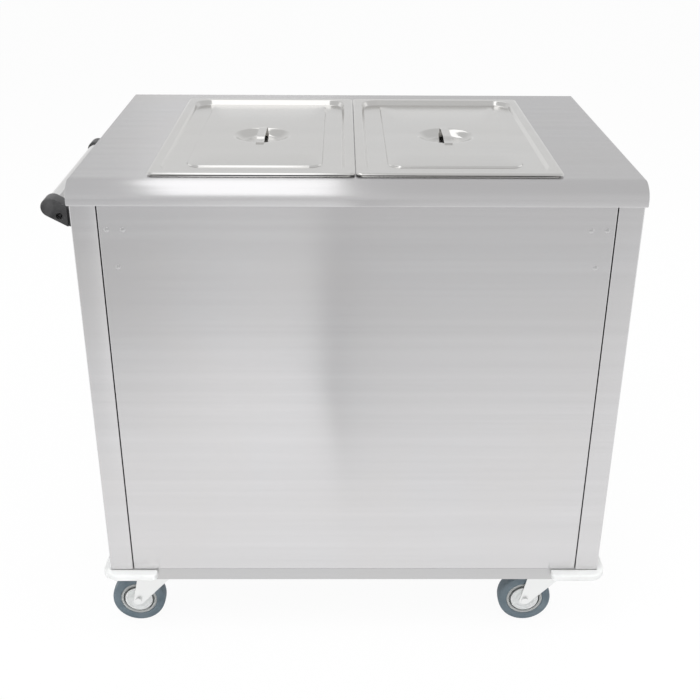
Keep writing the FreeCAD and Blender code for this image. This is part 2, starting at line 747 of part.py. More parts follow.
def lid_handle(name, side):
    """Flat strap arched over the dish, its feet welded to the lid in front and behind."""
    body = new_body(d.well_x + side * pan_pitch / 2, d.well_y, lid_z + lid_deck)
    foot = d.dish_radius + d.strap_foot
    thick = d.strap_sheet
    rim = d.dish_radius
    crown = d.dish_radius / 2
    profile = new_sketch(body, "YZ_Plane", -d.strap_width / 2)
    polygon(profile, [(foot, 0), (foot, thick), (rim, thick), (crown, d.strap_rise),
                      (-crown, d.strap_rise), (-rim, thick), (-foot, thick), (-foot, 0),
                      (thick - rim, 0), (-crown, d.strap_rise - thick),
                      (crown, d.strap_rise - thick), (rim - thick, 0)])
    pad(body, profile, d.strap_width)
    finish(name, body)


def element(name, x, y, z, half_span, reach, along_y):
    """A tubular heater bent into a long U; its two ends stand on the wall behind them."""
    radius = d.element_radius.value
    bend = d.element_bend.value
    half = half_span.value
    far = reach.value
    tip = bend * math.sqrt(0.5)
    path = [
        Part.makeLine(Vector(0, -half, 0), Vector(far - bend, -half, 0)),
        Part.Arc(Vector(far - bend, -half, 0),
                 Vector(far - bend + tip, -half + bend - tip, 0),
                 Vector(far, -half + bend, 0)).toShape(),
        Part.makeLine(Vector(far, -half + bend, 0), Vector(far, half - bend, 0)),
        Part.Arc(Vector(far, half - bend, 0),
                 Vector(far - bend + tip, half - bend + tip, 0),
                 Vector(far - bend, half, 0)).toShape(),
        Part.makeLine(Vector(far - bend, half, 0), Vector(0, half, 0)),
    ]
    ring = Part.Wire(Part.makeCircle(radius, Vector(0, -half, 0), Vector(1, 0, 0)))
    tube = doc.addObject("Part::Feature", "heater")
    tube.Shape = Part.Wire(path).makePipeShell([ring], True, False)
    turn = Rotation(Vector(0, 0, 1), -90 if along_y else 180)
    finish(name, place(tube, x, y, z, turn))


def heating_elements():
    back = d.well_y + well_length / 2
    element("well_element", d.well_x, back, tank_z + d.sheet + d.element_lift,
            d.well_element_width / 2, d.well_element_reach, True)
    wall = liner_x - d.sheet
    element("cupboard_element", wall, as_size(0), panel_z + d.sheet + d.element_lift,
            d.cupboard_element_width / 2, d.cupboard_element_reach, False)


# ---------------------------------------------------------------- cupboard and doors
liner_front = -cab_y + d.liner_front_gap
liner_back = track_y - track_depth - d.lane_gap
ledge_z = panel_z + d.sheet + d.shelf_height


def cupboard_liner():
    """Lining open towards the server, standing on a floor that lies on the base channel."""
    floor = box(-return_x + 2 * d.seam, -cab_y + d.panel_return + 2 * d.sheet, panel_z,
                return_x - 2 * d.seam, track_y, panel_z + d.sheet)
    shell = box(-liner_x, liner_front, panel_z, liner_x, liner_back, liner_z)
    inner_x = liner_x - d.sheet
    room = box(-inner_x, liner_front + d.sheet, panel_z + d.sheet,
               inner_x, liner_back + d.sheet, liner_z - d.sheet)
    ledges = [box(sides(side, inner_x - d.ledge_width, inner_x)[0], liner_front,
                  ledge_z - d.sheet,
                  sides(side, inner_x - d.ledge_width, inner_x)[1], liner_back, ledge_z)
              for side in (-1, 1)]
    finish("cupboard_liner", fuse(cut(shell, room), floor, *ledges))


def middle_shelf():
    """Loose-fitting shelf on the ledges, folded down along its front and back edges."""
    x = liner_x - d.sheet - d.shelf_gap
    y_from = liner_front + d.sheet + d.shelf_gap
    y_to = liner_back - d.shelf_gap
    fold_x = x - d.ledge_width - d.shelf_gap
    plate = box(-x, y_from, ledge_z, x, y_to, ledge_z + d.sheet)
    front = box(-fold_x, y_from, ledge_z - d.shelf_fold, fold_x, y_from + d.sheet, ledge_z)
    back = box(-fold_x, y_to - d.sheet, ledge_z - d.shelf_fold, fold_x, y_to, ledge_z)
    finish("middle_shelf", fuse(plate, front, back))


def track(plate_z, rib_z, rib_top):
    """A strip with three ribs that keep both doors in their lanes."""
    x = return_x - d.lane_gap
    y_from = track_y - track_depth
    plate = box(-x, y_from, plate_z, x, track_y, plate_z + d.sheet)
    ribs = []
    for number in range(3):
        y = y_from + number * (lane + d.track_rib)
        ribs.append(box(-x, y, rib_z, x, y + d.track_rib, rib_top))
    return fuse(plate, *ribs)


def door_tracks():
    lower = track(panel_z + d.sheet, track_floor_z, track_floor_z + d.track_lip)
    upper = track(fascia_z - d.sheet, fascia_z - d.sheet - d.track_hood, fascia_z - d.sheet)
    finish("door_tracks", group(lower, upper))


def door(name, pull_name, side):
    """Double-skinned sliding door; the right one (side 1) runs in the outer lane."""
    lanes_in = 1 if side > 0 else 0
    y_from = (track_y - track_depth + d.track_rib + d.lane_gap
              + lanes_in * (lane + d.track_rib))
    y_to = y_from + d.door_thickness
    x_from, x_to = sides(side, -d.door_overlap / 2, return_x - d.door_end_gap)
    pull_x = side * (return_x - d.door_end_gap - d.pull_inset - d.pull_width / 2)
    half_x = d.pull_width / 2
    half_z = d.pull_height / 2
    leaf = box(x_from, y_from, door_z, x_to, y_to, door_top)
    space = box(x_from + d.sheet, y_from + d.sheet, door_z + d.sheet,
                x_to - d.sheet, y_to - d.sheet, door_top - d.sheet)
    seat = box(pull_x - half_x, y_to - d.pull_depth - d.pull_wall, d.pull_z - half_z,
               pull_x + half_x, y_to + 1, d.pull_z + half_z)
    finish(name, cut(leaf, space, seat))
    cup = box(pull_x - half_x, y_to - d.pull_depth - d.pull_wall, d.pull_z - half_z,
              pull_x + half_x, y_to, d.pull_z + half_z)
    flange = box(pull_x - half_x - d.pull_flange, y_to, d.pull_z - half_z - d.pull_flange,
                 pull_x + half_x + d.pull_flange, y_to + d.sheet,
                 d.pull_z + half_z + d.pull_flange)
    hollow = box(pull_x - half_x + d.pull_wall, y_to - d.pull_depth,
                 d.pull_z - half_z + d.pull_wall,
                 pull_x + half_x - d.pull_wall, y_to + d.pull_depth,
                 d.pull_z + half_z - d.pull_wall)
    finish(pull_name, cut(fuse(cup, flange), hollow))


# ---------------------------------------------------------------- control panel
first_dial_x = return_x - d.well_dial_x
dial_x = (first_dial_x, first_dial_x + d.dial_pitch)
switch_x = first_dial_x + 2 * d.dial_pitch
switch_half_x = d.switch_width / 2
switch_half_z = d.switch_height / 2
spindle_hole = d.spindle_radius * 1.3
bolt_hole = d.bolt_radius * 1.05


def control_panel():
    """Folded panel under the worktop's rear edge, cut for the dials, lamps and switch."""
    panel = folded_panel(1, return_x - d.seam, fascia_z, edge_z)
    y = cab_y - 2 * d.sheet
    through = 4 * d.sheet
    holes = []
    for x in dial_x:
        holes.append(rod(spindle_hole, through, x, y, dial_z, TO_Y))
        holes.append(rod(d.lamp_radius, through, x + d.lamp_offset, y, dial_z, TO_Y))
    holes.append(box(switch_x - switch_half_x, y, dial_z - switch_half_z,
                     switch_x + switch_half_x, y + through, dial_z + switch_half_z))
    finish("control_panel", cut(panel, *holes))


def thermostats():
    """Two thermostat bodies on the panel's back, each with its spindle through the panel."""
    half = d.thermostat_side / 2
    back = cab_y - d.sheet
    units = []
    for x in dial_x:
        case = box(x - half, back - d.thermostat_depth, dial_z - half,
                   x + half, back, dial_z + half)
        spindle = rod(d.spindle_radius, d.sheet + d.knob_gap + d.knob_height / 2,
                      x, back, dial_z, TO_Y)
        units.append(fuse(case, spindle))
    finish("thermostats", group(*units))


def knob(name, x):
    """Dial knob: a flat skirt, a narrower grip and a bar across it."""
    body = new_body(x, cab_y + d.knob_gap, dial_z, TO_Y)
    bore = d.spindle_radius + d.spindle_fit
    bore_top = d.knob_height / 2 + d.spindle_fit
    skirt = d.knob_height * 0.3
    grip = d.knob_height * 0.8
    profile = new_sketch(body, "XZ_Plane")
    polygon(profile, [(bore, 0), (d.knob_radius, 0), (d.knob_radius * 0.95, skirt),
                      (d.knob_radius * 0.66, skirt * 1.25), (d.knob_radius * 0.62, grip),
                      (0, grip), (0, bore_top), (bore, bore_top)])
    revolve(body, profile)
    bar = new_sketch(body, "XY_Plane", grip)
    pad(body, rectangle(bar, d.knob_radius * 0.3, d.knob_radius * 1.2), d.knob_height - grip)
    finish(name, body)


def pilot_lamps():
    inside = 4 * d.sheet
    lamps = []
    for x in dial_x:
        stem = rod(d.lamp_radius, inside + d.lamp_proud, x + d.lamp_offset, cab_y - inside,
                   dial_z, TO_Y)
        bezel = rod(d.lamp_radius * 1.35, d.lamp_proud * 0.4, x + d.lamp_offset, cab_y,
                    dial_z, TO_Y)
        lamps.append(fuse(stem, bezel))
    finish("pilot_lamps", group(*lamps))


def rocker_switch():
    """Snap-in switch: a housing with a bezel, and the rocker on its pivot, leaning to off."""
    back = cab_y - d.switch_depth
    frame = d.switch_bezel
    body = box(switch_x - switch_half_x, back, dial_z - switch_half_z,
               switch_x + switch_half_x, cab_y, dial_z + switch_half_z)
    bezel = box(switch_x - switch_half_x - frame, cab_y, dial_z - switch_half_z - frame,
                switch_x + switch_half_x + frame, cab_y + frame,
                dial_z + switch_half_z + frame)
    wall = d.switch_bezel * 0.6
    well = box(switch_x - switch_half_x + wall, cab_y - d.switch_depth * 0.6,
               dial_z - switch_half_z + wall,
               switch_x + switch_half_x - wall, cab_y + 2 * frame,
               dial_z + switch_half_z - wall)
    bore = rod(d.pivot_radius + d.pivot_fit, 2 * switch_half_x + 2 * frame,
               switch_x - switch_half_x - frame, cab_y - frame, dial_z, TO_RIGHT)
    finish("switch_housing", cut(fuse(body, bezel), well, bore))
    rocker = new_body(switch_x, cab_y - frame, dial_z,
                      Rotation(Vector(1, 0, 0), d.rocker_tilt.value))
    half_x = switch_half_x - wall - d.lane_gap
    tip = switch_half_z - 2 * wall - d.lane_gap
    profile = new_sketch(rocker, "YZ_Plane", -half_x)
    polygon(profile, [(2.5 * frame, 0), (3.2 * frame, -tip), (-2.5 * frame, -tip * 0.7),
                      (-3.5 * frame, 0), (-2.5 * frame, tip * 0.7), (3.2 * frame, tip)])
    pad(rocker, profile, 2 * half_x)
    pin_end = switch_half_x - wall / 2
    pins = circle(new_sketch(rocker, "YZ_Plane", -pin_end), d.pivot_radius)
    pad(rocker, pins, 2 * pin_end)
    finish("switch_rocker", rocker)


# ---------------------------------------------------------------- push handle
handle_x = -cab_x - d.handle_reach
handle_z = d.top_height - d.handle_drop
slope_length = Size(math.sqrt(1 + d.bracket_slope.value ** 2),
                    "sqrt(1 + dims.bracket_slope ^ 2)")


def handle_bracket(side):
    """Arm that falls from the tube's rounded end to a flange on the end panel."""
    body = new_body(handle_x, side * d.handle_span / 2, handle_z)
    half = d.bracket_width / 2
    near = half if side > 0 else -half
    rise = d.bracket_radius / slope_length
    run = rise * d.bracket_slope
    foot_x = d.handle_reach - d.bracket_foot
    upper_z = rise - (foot_x - run) * d.bracket_slope
    lower_x = (d.bracket_base - rise) / d.bracket_slope - run
    arm = new_sketch(body, "XZ_Plane", -half)
    polygon(arm, [(run, rise), (foot_x, upper_z), (foot_x, -d.bracket_base),
                  (lower_x, -d.bracket_base), (-run, -rise)])
    pad(body, arm, d.bracket_width)
    pad(body, circle(new_sketch(body, "XZ_Plane", -half), d.bracket_radius), d.bracket_width)
    neck_x = (lower_x + foot_x) / 2
    for face, inward in ((-half, True), (half, False)):
        notch = new_sketch(body, "XZ_Plane", face, neck_x, upper_z)
        rectangle(notch, foot_x - lower_x, 4 * d.bracket_base)
        pocket(body, notch, d.bracket_neck, forward=inward)
    flange = new_sketch(body, "XZ_Plane", -half)
    polygon(flange, [(foot_x, -d.bracket_base), (d.handle_reach, -d.bracket_base),
                     (d.handle_reach, d.bracket_top), (foot_x, d.bracket_top)])
    pad(body, flange, d.bracket_width)
    bore = circle(new_sketch(body, "XZ_Plane", near), d.tube_radius)
    pocket(body, bore, d.bracket_width - d.bracket_cap, forward=near is not half)
    socket = new_sketch(body, "XZ_Plane", -near)
    circle(socket, d.socket_radius, d.socket_shift, -d.socket_shift)
    pocket(body, socket, d.socket_depth, forward=near is half)
    return body


def push_handle():
    brackets = [handle_bracket(side) for side in (-1, 1)]
    finish("handle_brackets", group(*brackets))
    end = d.handle_span / 2 + d.bracket_width / 2 - d.bracket_cap
    outside = rod(d.tube_radius, 2 * end, handle_x, -end, handle_z, TO_Y)
    inside = rod(d.tube_radius - d.tube_wall, 2 * (end + d.sheet), handle_x, -end - d.sheet,
                 handle_z, TO_Y)
    finish("handle_tube", cut(outside, inside))
    heads = []
    for side, turn in ((-1, TO_FRONT), (1, TO_Y)):
        y = side * (d.handle_span / 2 + d.bracket_width / 2 - d.socket_depth)
        heads.append(dome(d.socket_radius * 0.8, d.screw_height, None,
                          handle_x + d.socket_shift, y, handle_z - d.socket_shift, turn))
        heads.append(dome(d.screw_radius, d.screw_height, None, -cab_x - d.bracket_foot,
                          side * d.handle_span / 2, handle_z - d.bracket_top / 2, TO_LEFT))
    finish("handle_screws", group(*heads))


# ---------------------------------------------------------------- corner bumpers
CORNERS = (("front_left", -1, -1), ("front_right", 1, -1),
           ("rear_left", -1, 1), ("rear_right", 1, 1))
bumper_z = panel_z - d.bumper_drop - d.bumper_height


def bumper_screw_places():
    """From a bumper's outer corner: two screws along its long wing, one along its short."""
    third = d.bumper_front / 2.6
    return (third, 2 * third), d.bumper_side * 0.7


def bumper_screws(side_x, side_y):
    """Pan-head screws, each lying on the floor of its sunk seat."""
    z = bumper_z + d.bumper_height / 2
    out_x = cab_x + d.bumper_end_proud
    out_y = cab_y + d.bumper_proud
    long_turn = TO_Y if side_y > 0 else TO_FRONT
    short_turn = TO_RIGHT if side_x > 0 else TO_LEFT
    along_x, along_y = bumper_screw_places()
    heads = [dome(d.screw_radius, d.screw_height, None, side_x * (out_x - step),
                  side_y * (out_y - d.bumper_sink), z, long_turn) for step in along_x]
    heads.append(dome(d.screw_radius, d.screw_height, None, side_x * (out_x - d.bumper_sink),
                      side_y * (out_y - along_y), z, short_turn))
    return heads


def near_point(x, y, spread=0.01):
    """Picks upright edges over a point of the body's own XY plane."""
    def test(edge):
        middle = edge.BoundBox.Center
        return upright(edge) and abs(middle.x - x) < spread and abs(middle.y - y) < spread
    return test


def bumper(side_x, side_y):
    """An L round a corner of the base channel, rounded at the corner and at both ends."""
    body = new_body(side_x * (cab_x + d.bumper_end_proud), side_y * (cab_y + d.bumper_proud),
                    bumper_z)
    long_x = -side_x * d.bumper_front
    short_y = -side_y * d.bumper_side
    inner_x = -side_x * (d.bumper_end_proud + d.base_setback)
    inner_y = -side_y * (d.bumper_proud + d.base_setback)
    plan = new_sketch(body, "XY_Plane")
    polygon(plan, [(0, 0), (long_x, 0), (long_x, inner_y), (inner_x, inner_y),
                   (inner_x, short_y), (0, short_y)])
    pad(body, plan, d.bumper_height)
    round_edges(body, d.bumper_corner, near_point(0, 0))
    round_edges(body, d.bumper_nose, near_point(long_x.value, 0))
    round_edges(body, d.bumper_nose, near_point(0, short_y.value))
    along_x, along_y = bumper_screw_places()
    middle = d.bumper_height / 2
    seat = d.screw_radius * 1.25
    for step in along_x:
        front = circle(new_sketch(body, "XZ_Plane"), seat, -side_x * step, middle)
        pocket(body, front, d.bumper_sink, forward=side_y > 0)
    end = circle(new_sketch(body, "YZ_Plane"), seat, -side_y * along_y, middle)
    pocket(body, end, d.bumper_sink, forward=side_x < 0)
    return body


def corner_bumpers():
    blocks = []
    screws = []
    for _, side_x, side_y in CORNERS:
        blocks.append(bumper(side_x, side_y))
        screws.extend(bumper_screws(side_x, side_y))
    finish("corner_bumpers", group(*blocks))
    finish("bumper_screws", group(*screws))


# ---------------------------------------------------------------- castors
leg_face = d.fork_half_gap + d.fork_sheet


def swivel_place(side_x, side_y):
    return side_x * (cab_x - d.castor_inset_x), side_y * (cab_y - d.castor_inset_y)


def bolt_places():
    for _, side_x, side_y in CORNERS:
        x, y = swivel_place(side_x, side_y)
        for step_x in (-1, 1):
            for step_y in (-1, 1):
                yield x + step_x * d.bolt_pitch_x / 2, y + step_y * d.bolt_pitch_y / 2


def turned(x, y, z, profile, rotation=None):
    """A solid of revolution about its own Z axis from points (radius, height)."""
    body = new_body(x, y, z, rotation)
    revolve(body, polygon(new_sketch(body, "XZ_Plane"), profile))
    return body


def castor_plate(side_x, side_y):
    """Top plate with the fixed half of the swivel bearing and the kingpin under it."""
    x, y = swivel_place(side_x, side_y)
    body = new_body(x, y, d.castor_height)
    plate = rounded(new_sketch(body, "XY_Plane"), d.plate_x, d.plate_y, d.bolt_head)
    for step_x in (-1, 1):
        for step_y in (-1, 1):
            circle(plate, bolt_hole, step_x * d.bolt_pitch_x / 2, step_y * d.bolt_pitch_y / 2)
    pad(body, plate, d.plate_sheet, forward=False)
    race = -(d.crown_drop - d.swivel_gap)
    pin_end = -(d.crown_drop + d.fork_sheet + d.swivel_gap)
    head_end = pin_end - d.plate_sheet
    stack = new_sketch(body, "XZ_Plane")
    polygon(stack, [(0, -d.plate_sheet), (d.race_radius, -d.plate_sheet),
                    (d.race_radius, race), (d.kingpin_radius, race),
                    (d.kingpin_radius, pin_end), (d.kingpin_head, pin_end),
                    (d.kingpin_head, head_end), (0, head_end)])
    revolve(body, stack)
    return body


def castor_bolts():
    """Bolts up through plate and base channel, each with its head below and nut above."""
    head = d.castor_height - d.plate_sheet
    grip = d.plate_sheet + d.base_sheet
    bolts = []
    for x, y in bolt_places():
        profile = [(0, -d.head_height), (d.bolt_head, -d.head_height), (d.bolt_head, 0),
                   (d.bolt_radius, 0), (d.bolt_radius, grip), (d.bolt_head, grip),
                   (d.bolt_head, grip + d.head_height), (0, grip + d.head_height)]
        bolts.append(turned(x, y, head, profile))
    finish("castor_bolts", group(*bolts))


def fork(name, side_x, side_y, braked):
    """Pressed fork: a crown under the bearing and two legs that trail to the axle."""
    x, y = swivel_place(side_x, side_y)
    body = new_body(x, y, 0)
    axle_x = -d.castor_trail
    axle_z = d.wheel_radius
    shoulder = fork_top - d.fork_toe
    for offset in (-leg_face, d.fork_half_gap):
        leg = new_sketch(body, "XZ_Plane", offset)
        polygon(leg, [(-d.fork_crown, fork_top), (d.fork_crown, fork_top),
                      (d.fork_crown, shoulder),
                      (axle_x + d.fork_toe * 0.7, axle_z - d.fork_toe * 0.7),
                      (axle_x - d.fork_toe, axle_z)])
        pad(body, leg, d.fork_sheet)
        toe = circle(new_sketch(body, "XZ_Plane", offset), d.fork_toe, axle_x, axle_z)
        pad(body, toe, d.fork_sheet)
    crown_z = fork_top - d.fork_sheet
    crown = rectangle(new_sketch(body, "XY_Plane", crown_z), 2 * d.fork_crown, 2 * leg_face)
    pad(body, crown, d.fork_sheet)
    disc = circle(new_sketch(body, "XY_Plane", crown_z), d.race_radius)
    pad(body, disc, d.fork_sheet)
    kingpin = circle(new_sketch(body, "XY_Plane", fork_top), d.kingpin_radius + d.kingpin_fit)
    pocket(body, kingpin, 2 * d.fork_sheet)
    axle = new_sketch(body, "XZ_Plane", -leg_face - d.fork_sheet)
    circle(axle, d.axle_radius, axle_x, axle_z)
    if braked:
        circle(axle, d.pedal_pin + d.axle_fit, -d.pedal_pivot, d.pedal_height)
    pocket(body, axle, 2 * (leg_face + d.fork_sheet), forward=True)
    finish(name, body)


def wheel(name, side_x, side_y):
    """Tyre, rim, thread guards and axle bolt of one castor."""
    x, y = swivel_place(side_x, side_y)
    x = x - d.castor_trail
    z = d.wheel_radius
    half = d.tyre_width / 2
    hub = half - 1
    bore = d.axle_radius + d.axle_fit
    boss = d.axle_radius * 3
    web = hub * 0.35
    dish = d.rim_recess
    rim = [(bore, -hub), (boss, -hub), (boss * 1.1, -web), (dish * 0.93, -web), (dish, -hub),
           (d.rim_radius, -hub), (d.rim_radius, hub), (dish, hub), (dish * 0.93, web),
           (boss * 1.1, web), (boss, hub), (bore, hub)]
    finish(f"{name}_rim", turned(x, y, z, rim, TO_Y))
    tread = [(d.rim_radius, -half), (d.wheel_radius, -half), (d.wheel_radius, half),
             (d.rim_radius, half)]
    tyre = turned(x, y, z, tread, TO_Y)
    outermost = 2 * d.wheel_radius.value - 0.01
    round_edges(tyre, d.tyre_shoulder, lambda edge: edge.BoundBox.YLength > outermost)
    finish(f"{name}_tyre", tyre)
    gap = (d.fork_half_gap - hub - d.guard_sheet) / 2
    discs = []
    for inner in (hub + gap, -(hub + gap + d.guard_sheet)):
        disc = rod(d.guard_radius, d.guard_sheet, x, y + inner, z, TO_Y)
        hole = rod(d.axle_radius, 3 * d.guard_sheet, x, y + inner - d.guard_sheet, z, TO_Y)
        discs.append(cut(disc, hole))
    finish(f"{name}_guards", group(*discs))
    end = leg_face + d.head_height
    bolt = [(0, -end), (d.axle_head, -end), (d.axle_head, -leg_face),
            (d.axle_radius, -leg_face), (d.axle_radius, leg_face), (d.axle_head, leg_face),
            (d.axle_head, end), (0, end)]
    finish(f"{name}_axle", turned(x, y, z, bolt, TO_Y))


def brake_pedal(name, side_x, side_y):
    """Foot pedal over the trailing side of a wheel, hinged on a pin through the fork."""
    x, y = swivel_place(side_x, side_y)
    body = new_body(x, y, 0)
    half = d.pedal_width / 2
    pivot_x = -d.pedal_pivot
    pivot_z = d.pedal_height
    tip_x = -d.pedal_reach
    eye = d.pedal_pin * 1.8
    under = pivot_z - eye
    bend_x = tip_x + 4 * d.pedal_sheet
    plate = new_sketch(body, "XZ_Plane", -half)
    polygon(plate, [(pivot_x, under), (pivot_x, under + d.pedal_sheet),
                    (bend_x, under + d.pedal_sheet), (tip_x, under + 3 * d.pedal_sheet),
                    (tip_x, under + 2 * d.pedal_sheet), (bend_x, under)])
    pad(body, plate, d.pedal_width)
    barrel = circle(new_sketch(body, "XZ_Plane", -half), eye, pivot_x, pivot_z)
    pad(body, barrel, d.pedal_width)
    pivot = circle(new_sketch(body, "XZ_Plane", -leg_face), d.pedal_pin, pivot_x, pivot_z)
    pad(body, pivot, 2 * leg_face)
    finish(name, body)


def castors():
    finish("castor_plates", group(*[castor_plate(sx, sy) for _, sx, sy in CORNERS]))
    castor_bolts()
    for corner, side_x, side_y in CORNERS:
        braked = side_y > 0
        fork(f"{corner}_fork", side_x, side_y, braked)
        wheel(corner, side_x, side_y)
        if braked:
            brake_pedal(f"{corner}_brake_pedal", side_x, side_y)


# ---------------------------------------------------------------- whole trolley
def build():
    worktop()
    front_panel()
    end_panel("left_end_panel", -1)
    end_panel("right_end_panel", 1)
    base_frame()
    cable_gland()
    well_tank()
    support_bar()
    for label, side in (("left", -1), ("right", 1)):
        pan(f"{label}_pan", side)
        lid(f"{label}_lid", side)
        lid_handle(f"{label}_lid_handle", side)
        door(f"{label}_door", f"{label}_door_pull", side)
    heating_elements()
    cupboard_liner()
    middle_shelf()
    door_tracks()
    control_panel()
    thermostats()
    knob("well_knob", dial_x[0])
    knob("cupboard_knob", dial_x[1])
    pilot_lamps()
    rocker_switch()
    push_handle()
    corner_bumpers()
    castors()
    doc.recompute()


def check():
    """Stop on any failed object or broken shape before a file is written."""
    for thing in doc.Objects:
        if "Invalid" in thing.State or "Error" in thing.State:
            raise RuntimeError(f"{thing.Label}: {thing.State}")
    for name, thing in nodes.items():
        shape = thing.Shape
        if shape.isNull() or not shape.isValid() or not shape.Solids:
            raise RuntimeError(f"{name}: the shape is empty or not valid")


def write():
    os.makedirs("parts", exist_ok=True)
    for name, thing in nodes.items():
        thing.Shape.exportStep(f"parts/{name}.step")
        solids = thing.Shape.Solids
        volume = sum(solid.Volume for solid in solids)
        print(f"{name}: {len(solids)} solid(s), {volume / 1000:.2f} cm3")
    print(f"{len(nodes)} nodes")


build()
check()
write()
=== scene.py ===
# %% [markdown]
# # Dressing a hostess trolley
# The solids of the trolley come in as a fixed frame. Every cell below gives one real piece or one
# real finish its looks. Everything is in metres, with +Z up and the floor at Z = 0. The guest's
# plain panel faces -Y, the doors and dials face +Y, and the push handle is on the -X end.

import math

import bmesh
import bpy
from mathutils import Matrix, Vector


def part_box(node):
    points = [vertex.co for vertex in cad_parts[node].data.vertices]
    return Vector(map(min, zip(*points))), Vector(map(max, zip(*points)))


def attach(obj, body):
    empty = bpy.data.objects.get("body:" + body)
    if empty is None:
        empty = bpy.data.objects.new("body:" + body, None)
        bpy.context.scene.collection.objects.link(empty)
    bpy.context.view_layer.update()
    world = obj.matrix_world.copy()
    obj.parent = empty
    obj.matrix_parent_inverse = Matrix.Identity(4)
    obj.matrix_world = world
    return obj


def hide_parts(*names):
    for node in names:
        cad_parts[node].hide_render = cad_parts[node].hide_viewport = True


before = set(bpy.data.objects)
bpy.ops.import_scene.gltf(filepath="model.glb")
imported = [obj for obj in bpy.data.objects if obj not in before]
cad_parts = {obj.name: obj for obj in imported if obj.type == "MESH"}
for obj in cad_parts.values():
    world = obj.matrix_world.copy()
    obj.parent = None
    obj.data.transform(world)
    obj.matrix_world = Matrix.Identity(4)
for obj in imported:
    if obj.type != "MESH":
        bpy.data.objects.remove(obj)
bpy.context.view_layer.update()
scene = bpy.context.scene
MM = 0.001

# %% [markdown]
# ## The camera
# A product photograph is best matched by working out where its camera stood. Here the worktop's
# corners, the seams and the wheels gave one camera: a 54 mm lens on a 36 mm sensor, a little over
# chest height, looking down by 26 degrees. Yaw and roll are tiny, but they keep edges parallel.

# %% Camera
PITCH, ROLL, YAW = -0.453017, -0.005867, -0.009668
turn = (Matrix.Rotation(YAW, 3, "Z") @ Matrix.Rotation(PITCH, 3, "X")
        @ Matrix.Rotation(ROLL, 3, "Y"))
right, ahead, up = turn.col[0], turn.col[1], turn.col[2]
FOCAL_PIXELS, FRAME_PIXELS, SENSOR = 1046.04, 700, 36.0
lens = bpy.data.cameras.new("studio_camera")
lens.sensor_width = SENSOR
lens.lens = FOCAL_PIXELS / FRAME_PIXELS * SENSOR
lens.clip_end = 50.0
camera = bpy.data.objects.new("studio_camera", lens)
scene.collection.objects.link(camera)
camera.matrix_world = Matrix((
    (right.x, up.x, -ahead.x, 0.00596),
    (right.y, up.y, -ahead.y, -1.8488),
    (right.z, up.z, -ahead.z, 1.35943),
    (0, 0, 0, 1)))
scene.camera = camera
print("lens", round(lens.lens, 2), "mm")

# %% [markdown]
# ## Small helpers for materials
# A finish is one Principled shader with a few nodes in front of it. The class below only saves
# typing: it adds a node, sets its values and joins sockets, so each finish stays short to read.


# %% Material helper
class Finish:
    """One material with a Principled shader, and short calls that add nodes to it."""

    def __init__(self, name, **values):
        self.material = bpy.data.materials.new(name)
        self.material.use_nodes = True
        self.tree = self.material.node_tree
        self.shader = self.tree.nodes["Principled BSDF"]
        for socket, value in values.items():
            if socket.endswith("_color"):
                value = (*value, 1.0)
            self.shader.inputs[socket.replace("_", " ").title().replace("Ior", "IOR")
                               ].default_value = value
        self.place = self.add("ShaderNodeTexCoord").outputs["Object"]

    def add(self, kind, values=None, **settings):
        """Add a node, set its attributes, then its input sockets by name or number."""
        node = self.tree.nodes.new(kind)
        for name, value in settings.items():
            setattr(node, name, value)
        for socket, value in (values or {}).items():
            if isinstance(value, bpy.types.NodeSocket):
                self.tree.links.new(value, node.inputs[socket])
            else:
                node.inputs[socket].default_value = value
        return node

    def group(self, tree, values):
        """Place a shared node group and give its outputs, which are read by name."""
        return self.add("ShaderNodeGroup", values, node_tree=tree).outputs

    def math(self, kind, first, second=0.0):
        return self.add("ShaderNodeMath", {0: first, 1: second}, operation=kind).outputs[0]

    def range(self, value, low, high, to_low=0.0, to_high=1.0):
        return self.add("ShaderNodeMapRange", {"Value": value, "From Min": low, "From Max": high,
                                               "To Min": to_low, "To Max": to_high}).outputs[0]

    def blend(self, amount, first, second):
        """Mix two colours given as three numbers or as sockets."""
        node = self.add("ShaderNodeMix", data_type="RGBA")
        for socket, value in ((0, amount), (6, first), (7, second)):
            if isinstance(value, bpy.types.NodeSocket):
                self.tree.links.new(value, node.inputs[socket])
            elif socket == 0:
                node.inputs[socket].default_value = value
            else:
                node.inputs[socket].default_value = (*value, 1.0)
        return node.outputs[2]

    def feed(self, socket, value):
        self.tree.links.new(value, self.shader.inputs[socket])

    def relief(self, height, distance, strength=1.0):
        """A bump in metres, fed to the shader's normal."""
        bump = self.add("ShaderNodeBump", {"Height": height, "Distance": distance,
                                           "Strength": strength})
        self.feed("Normal", bump.outputs[0])

    def across_grain(self):
        """Turn the anisotropic stretch across the brush lines, which run level."""
        normal = self.add("ShaderNodeNewGeometry").outputs["Normal"]
        across = self.add("ShaderNodeVectorMath", {0: normal, 1: (1.0, 0.02, 0.0)},
                          operation="CROSS_PRODUCT")
        self.feed("Tangent", across.outputs[0])


def new_group(name, inputs, outputs):
    """An empty shader group with named sockets: (name, kind, default)."""
    tree = bpy.data.node_groups.new(name, "ShaderNodeTree")
    for label, kind, value in inputs:
        socket = tree.interface.new_socket(label, in_out="INPUT", socket_type=kind)
        if value is not None:
            socket.default_value = value
    for label, kind in outputs:
        tree.interface.new_socket(label, in_out="OUTPUT", socket_type=kind)
    return tree, tree.nodes.new("NodeGroupInput"), tree.nodes.new("NodeGroupOutput")


# %% [markdown]
# ## Brush lines in stainless steel
# Sheet steel is brushed in one direction, so it has hair-fine lines, which run level on this
# trolley. Noise does it well when the coordinates are squeezed hard across the lines and hardly
# along them. On the end faces level means along Y, so a mask from the normal swaps the two
# coordinates there.


